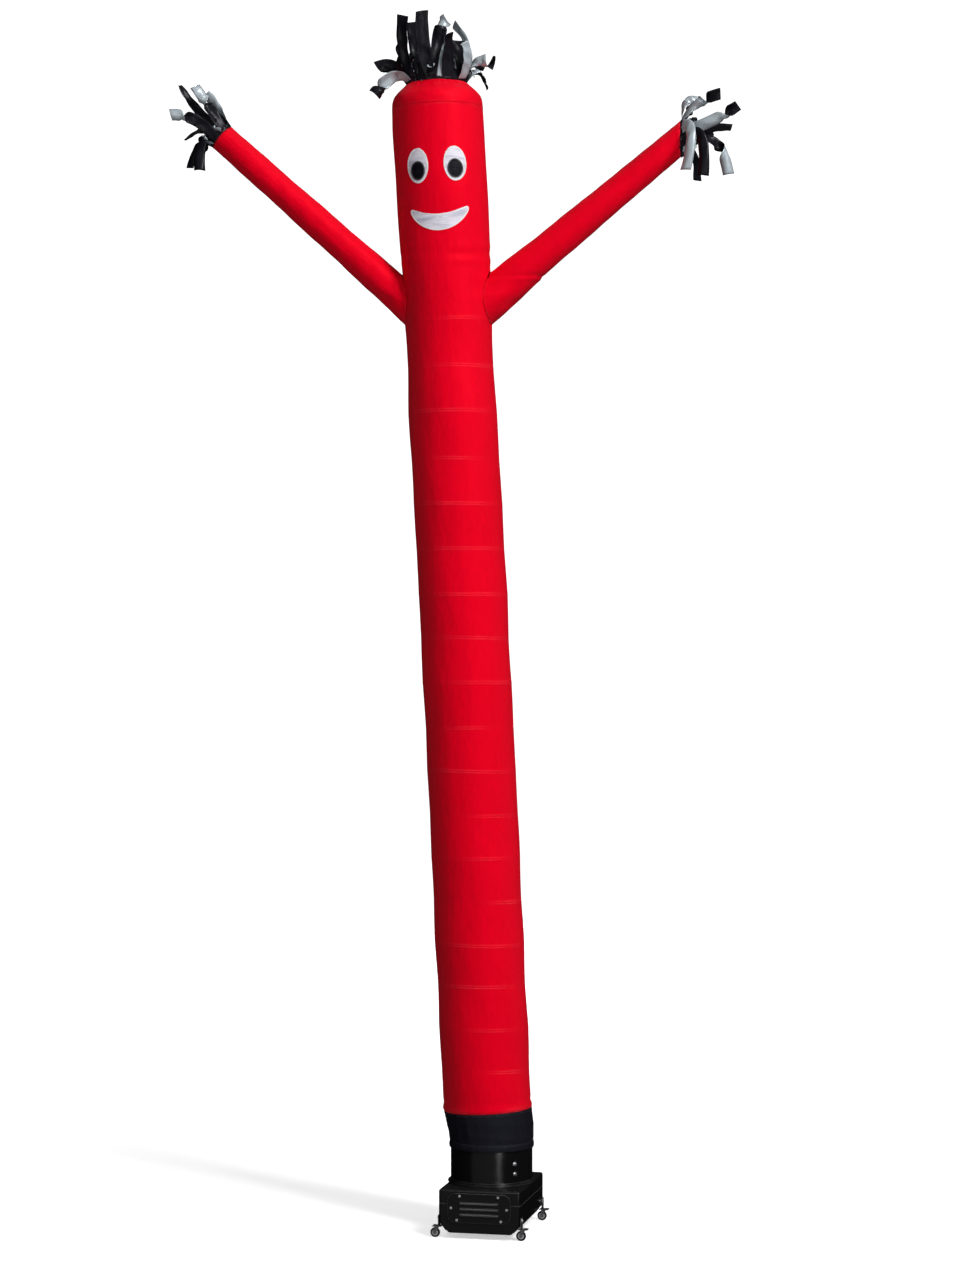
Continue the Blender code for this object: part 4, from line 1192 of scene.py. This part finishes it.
def lathe_mesh(name, profile, sides, used, middle, axis="Z"):
    """A closed profile of (radius, height) turned round an axis through middle."""
    profile = np.asarray(profile, float)
    angles = np.linspace(0, 2 * pi, sides + 1)
    radius, a = np.meshgrid(profile[:, 0], angles[:-1], indexing="ij")
    height = np.broadcast_to(profile[:, 1:2], a.shape)
    if axis == "Z":
        points = np.stack([radius * np.cos(a), radius * np.sin(a), height], -1)
    else:
        points = np.stack([radius * np.sin(a), height, radius * np.cos(a)], -1)
    cut = cut_grid(travel_along(closed_line(profile)), angles * profile[:, 0].max())
    cut = np.concatenate([cut, cut], axis=0)
    parts = [(points + np.asarray(middle), cut, True, axis == "Z")]
    mesh = grid_mesh(name, parts, [used], loop_rows=True)
    mesh.set_sharp_from_angle(angle=radians(40))
    return mesh


def rounded_profile(corners, radius, steps=4):
    """A closed profile with each corner rounded by a short arc."""
    corners = np.asarray(corners, float)
    made = []
    for before, here, after in zip(np.roll(corners, 1, axis=0), corners, np.roll(corners, -1, axis=0)):
        back, ahead = before - here, after - here
        reach = min(radius, 0.45 * np.linalg.norm(back), 0.45 * np.linalg.norm(ahead))
        start = here + reach * back / np.linalg.norm(back)
        end = here + reach * ahead / np.linalg.norm(ahead)
        for t in np.linspace(0, 1, steps + 1):
            made.append((1 - t) ** 2 * start + 2 * t * (1 - t) * here + t**2 * end)
    return np.array(made)


def make_collar():
    """The outlet collar: rolled top edge, bead and flange."""
    low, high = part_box("collar")
    outer, inner, flange = 0.2115, 0.2060, 0.2260
    corners = (
        (inner, high.z),
        (outer, high.z),
        (outer, low.z + 0.0190),
        (outer + 0.0030, low.z + 0.0167),
        (outer, low.z + 0.0137),
        (outer, low.z + 0.0080),
        (flange, low.z + 0.0080),
        (flange, low.z),
        (inner, low.z),
    )
    profile = rounded_profile(corners, 0.002)
    mesh = lathe_mesh("collar_ring", profile, ROUND_SIDES, PLASTIC, BASE)
    piece("collar_ring", mesh, replaces=["collar"])


def rounded_section(half_width, half_depth, corner):
    points = []
    for k, (sx, sy) in enumerate(((1, 1), (-1, 1), (-1, -1), (1, -1))):
        middle = np.array((sx * (half_width - corner), sy * (half_depth - corner)))
        for t in np.linspace(k * pi / 2, (k + 1) * pi / 2, CORNER_STEPS + 1):
            points.append(middle + corner * np.array((cos(t), sin(t))))
    return np.array(points)


def make_housing():
    """The moulded housing: sloping keel, rounded edges and the parting line of its two halves."""
    low, high = HOUSING_LOW, HOUSING_HIGH
    half_depth = (high.y - low.y) / 2
    edge, keel_top, groove = 0.010, low.z + 0.055, low.z + 0.150
    keel, half = 0.170, 0.213
    turn = np.linspace(0, pi / 2, 6)
    levels = []
    for t in turn:
        inset = edge * (1 - sin(t))
        levels.append((low.z + edge * (1 - cos(t)), keel - inset, inset))
    for z in np.linspace(low.z + 0.012, keel_top, 6):
        levels.append((z, np.interp(z, (low.z, keel_top), (keel, half)), 0.0))
    for dz, inset in ((-0.0016, 0.0), (-0.0008, 0.0014), (0.0008, 0.0014), (0.0016, 0.0)):
        levels.append((groove + dz, half - inset, inset))
    for t in turn:
        inset = edge * (1 - cos(t))
        levels.append((high.z - edge * (1 - sin(t)), half - inset, inset))
    rings = []
    for z, half_width, inset in levels:
        flat = rounded_section(half_width, half_depth - inset, 0.016 - 0.5 * min(inset, 0.01))
        rings.append(np.column_stack([flat, np.full(len(flat), z)]))
    for z, sign in ((high.z, 1), (low.z, -1)):
        for share in (0.6, 0.02):
            ring = np.array(rings[-1] if sign > 0 else rings[0])
            ring[:, :2] *= share
            if sign > 0:
                rings.append(ring)
            else:
                rings.insert(0, ring)
    points = np.array(rings) + BASE
    cut = np.zeros((len(rings), points.shape[1] + 1, 2))
    mesh = ring_mesh("housing_shell", points, cut, PLASTIC)
    mesh.set_sharp_from_angle(angle=radians(35))
    piece("housing_shell", mesh, replaces=["housing"])


def make_louvres():
    """Three curved blades over the cover's slots, facing a little up."""
    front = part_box("louvre_cover")[0].y
    turn = np.linspace(BLADE_TURN[0], BLADE_TURN[1], 9)
    step = BLADE_HEIGHT / (len(turn) - 1)
    outer = np.cumsum([(0.0, 0.0)] + [(-step * sin(t), -step * cos(t)) for t in turn[1:]], axis=0)
    outer = outer + (0.0012, BLADE_HEIGHT / 2)
    inner = outer[::-1] + (BLADE_THICKNESS, -0.0006)
    ring = rounded_profile(np.vstack([outer, inner]), 0.0006, 2)
    centre = ring.mean(axis=0)
    shares = np.concatenate([[-1.0, -1.0, -0.985], np.linspace(-0.94, 0.94, 15), [0.985, 1.0, 1.0]])
    sizes = np.concatenate([[0.02, 0.75, 0.92], np.ones(15), [0.92, 0.75, 0.02]])
    for k, height in enumerate(BLADE_HEIGHTS, 1):
        rows = []
        for share, size in zip(shares, sizes):
            y, z = (centre + size * (ring - centre)).T
            rows.append(np.stack([np.full(len(y), share * BLADE_HALF_WIDTH), front + y, height + z], -1))
        points = np.array(rows) + BASE
        cut = np.zeros((len(rows), len(ring) + 1, 2))
        mesh = ring_mesh(f"louvre_blade_{k}", points, cut, PLASTIC)
        mesh.set_sharp_from_angle(angle=radians(40))
        piece(f"louvre_blade_{k}", mesh)


def make_wheels():
    """Caster wheels with a rounded tread and a recessed hub."""
    half, radius, bore = 0.0065, 0.0250, 0.0036
    corners = (
        (bore, -half), (0.0085, -half), (0.0095, -half + 0.0020), (0.0165, -half + 0.0020), (0.0175, -half),
        (radius - 0.0012, -half), (radius, -half + 0.0028), (radius, half - 0.0028), (radius - 0.0012, half),
        (0.0175, half), (0.0165, half - 0.0020), (0.0095, half - 0.0020), (0.0085, half), (bore, half),
    )
    profile = rounded_profile(corners, 0.0008, 2)
    for node in [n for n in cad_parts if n.startswith("wheel_")]:
        low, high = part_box(node)
        middle = np.array((low + high) / 2)
        mesh = lathe_mesh(node + "_tyre", profile, WHEEL_SIDES, RUBBER, middle, "Y")
        corner = node[len("wheel_"):]
        piece(node + "_tyre", mesh, "roller_" + corner, [node])
        hub = ((0.0042, 0.0048), (0.0160, 0.0048), (0.0150, 0.0058), (0.0100, 0.0062), (0.0042, 0.0062))
        for side, name in ((-1, "front"), (1, "back")):
            ring = [(r, side * y) for r, y in (hub if side > 0 else reversed(hub))]
            mesh = lathe_mesh(f"{node}_hub_{name}", ring, HUB_SIDES, HUB, middle, "Y")
            piece(f"{node}_hub_{name}", mesh, "roller_" + corner)


def finish_hardware():
    """The steel pieces and the louvred cover keep their solids, with softened edges."""
    for name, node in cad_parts.items():
        kept = "cover" in name or name.startswith(("bracket", "fork", "collar_bolt"))
        if not kept or node.hide_render:
            continue
        finish = PLASTIC if name == "louvre_cover" else STEEL
        # The forks and the front and rear brackets take the darker steel, a painted dark reflection.
        if name.startswith(("bracket_front", "bracket_rear", "fork")):
            finish = DARK_REFLECTION_STEEL
        for material_slot in node.material_slots:
            material_slot.material = finish
        weld = node.modifiers.new("weld", "WELD")
        weld.merge_threshold = 0.00001
        edge = node.modifiers.new("edge", "BEVEL")
        edge.width = 0.0012 if name == "louvre_cover" else 0.0004
        edge.segments = 2
        edge.limit_method = "ANGLE"
        edge.angle_limit = radians(40)


# Floor, lights and camera

KEY_LIGHT = 4200.0
FRONT_LIGHT = 190.0
BACK_LIGHT = 900.0
LOW_LIGHT = 60.0
WORLD_LIGHT = 0.20
PALE = (0.86, 0.86, 0.87)
DARK = (0.01, 0.01, 0.01)
FLOOR_GLOW = (0.52, 0.95)
FLOOR_FADE = (3.0, 22.0)
WALL_GLOW = 1.0


def area_light(name, place, target, size, power):
    light = bpy.data.lights.new(name, "AREA")
    light.shape = "RECTANGLE"
    light.size, light.size_y = size
    light.energy = power
    made = placed(name, light)
    made.visible_camera = False
    made.location = place
    made.rotation_euler = (Vector(target) - made.location).to_track_quat("-Z", "Y").to_euler()
    return made


def stage_plane(name, corners, colour, glow):
    """A plane of the studio, and its tree and shader. It lights nothing and nothing mirrors it."""
    mesh = bpy.data.meshes.new(name)
    mesh.from_pydata(corners, [], [(0, 1, 2, 3)])
    made, tree, shader = paint(name + "_paint", colour, 0.9)
    shader.inputs["Emission Color"].default_value = (1.0, 1.0, 1.0, 1.0)
    shader.inputs["Emission Strength"].default_value = glow
    mesh.materials.append(made)
    plane = placed(name, mesh)
    plane.visible_diffuse = False
    plane.visible_glossy = False
    return plane, tree, shader


def make_stage():
    """A pale floor that glows more further off, pale walls, dark screens for what the cloth
    mirrors at its sides, and four lamps."""
    reach, top = 60.0, 60.0
    floor = [(-reach, -reach, 0), (reach, -reach, 0), (reach, reach, 0), (-reach, reach, 0)]
    _, tree, shader = stage_plane("floor", floor, PALE, 0.0)
    place = shader_node(tree, "ShaderNodeTexCoord").outputs["Object"]
    away = shader_node(tree, "ShaderNodeVectorMath", {0: place}, operation="LENGTH").outputs["Value"]
    near, far = FLOOR_FADE
    share = ramp(tree, away, near, 1 / (far - near))
    rise = FLOOR_GLOW[1] - FLOOR_GLOW[0]
    glow = math(tree, "ADD", math(tree, "MULTIPLY", share, rise), FLOOR_GLOW[0])
    tree.links.new(glow, shader.inputs["Emission Strength"])
    for side, (x, y) in {"back": (0, 1), "front": (0, -1), "left": (-1, 0), "right": (1, 0)}.items():
        for kind, away in (("wall", reach), ("screen", reach - 5.0)):
            if kind == "screen" and side == "front":
                continue
            pale = kind == "wall"
            left, right = (away * (x - y), away * (y + x)), (away * (x + y), away * (y - x))
            low = 0.0 if pale else -top
            corners = [(*left, low), (*right, low), (*right, top), (*left, top)]
            colour, glow = (PALE, WALL_GLOW) if pale else (DARK, 0.0)
            plane = stage_plane(f"{kind}_{side}", corners, colour, glow)[0]
            plane.visible_shadow = False
            plane.visible_camera = pale
            plane.visible_glossy = not pale
    world = bpy.data.worlds.new("studio")
    world.use_nodes = True
    sky = world.node_tree.nodes["Background"]
    sky.inputs["Color"].default_value = (1.0, 1.0, 1.0, 1.0)
    sky.inputs["Strength"].default_value = WORLD_LIGHT
    bpy.context.scene.world = world
    area_light("key", (13.6, -9.9, 16.3), (0.0, 0.0, 2.2), (4.5, 9.0), KEY_LIGHT)
    area_light("front", (7.2, -10.8, 1.6), (0.1, 0.0, 1.6), (2.5, 3.0), FRONT_LIGHT)
    back = area_light("back", (-3.2, 14.6, 9.0), (0.0, 0.0, 3.0), (4.0, 8.0), BACK_LIGHT)
    back.visible_glossy = False
    area_light("low", (-1.0, -7.0, 4.6), (0.18, 0.0, 0.2), (3.0, 0.8), LOW_LIGHT)


def make_camera():
    data = bpy.data.cameras.new("camera")
    data.lens = CAMERA_LENS
    data.sensor_width = 36.0
    made = placed("camera", data)
    made.location = CAMERA_PLACE
    made.rotation_euler = (pi / 2, 0.0, CAMERA_TURN)
    bpy.context.scene.camera = made
    bpy.context.scene.view_settings.view_transform = "Standard"


make_camera()
make_stage()

tube = piece("tube_cloth", make_tube(), replaces=["body_tube"])
cap = piece("cap_cloth", make_cap(), replaces=["head_cap"])
cuff = piece("cuff_cloth", make_cuff(), replaces=["cuff"])
arms = {}
for side in ARMS:
    arms[side] = piece(f"arm_{side}_cloth", make_arm(side), replaces=[f"arm_{side}"])
for cloth in (tube, cap, cuff, *arms.values()):
    thicken(cloth, NYLON)
make_face()
make_all_streamers()
make_stitches()
make_collar()
make_housing()
make_louvres()
make_wheels()
finish_hardware()
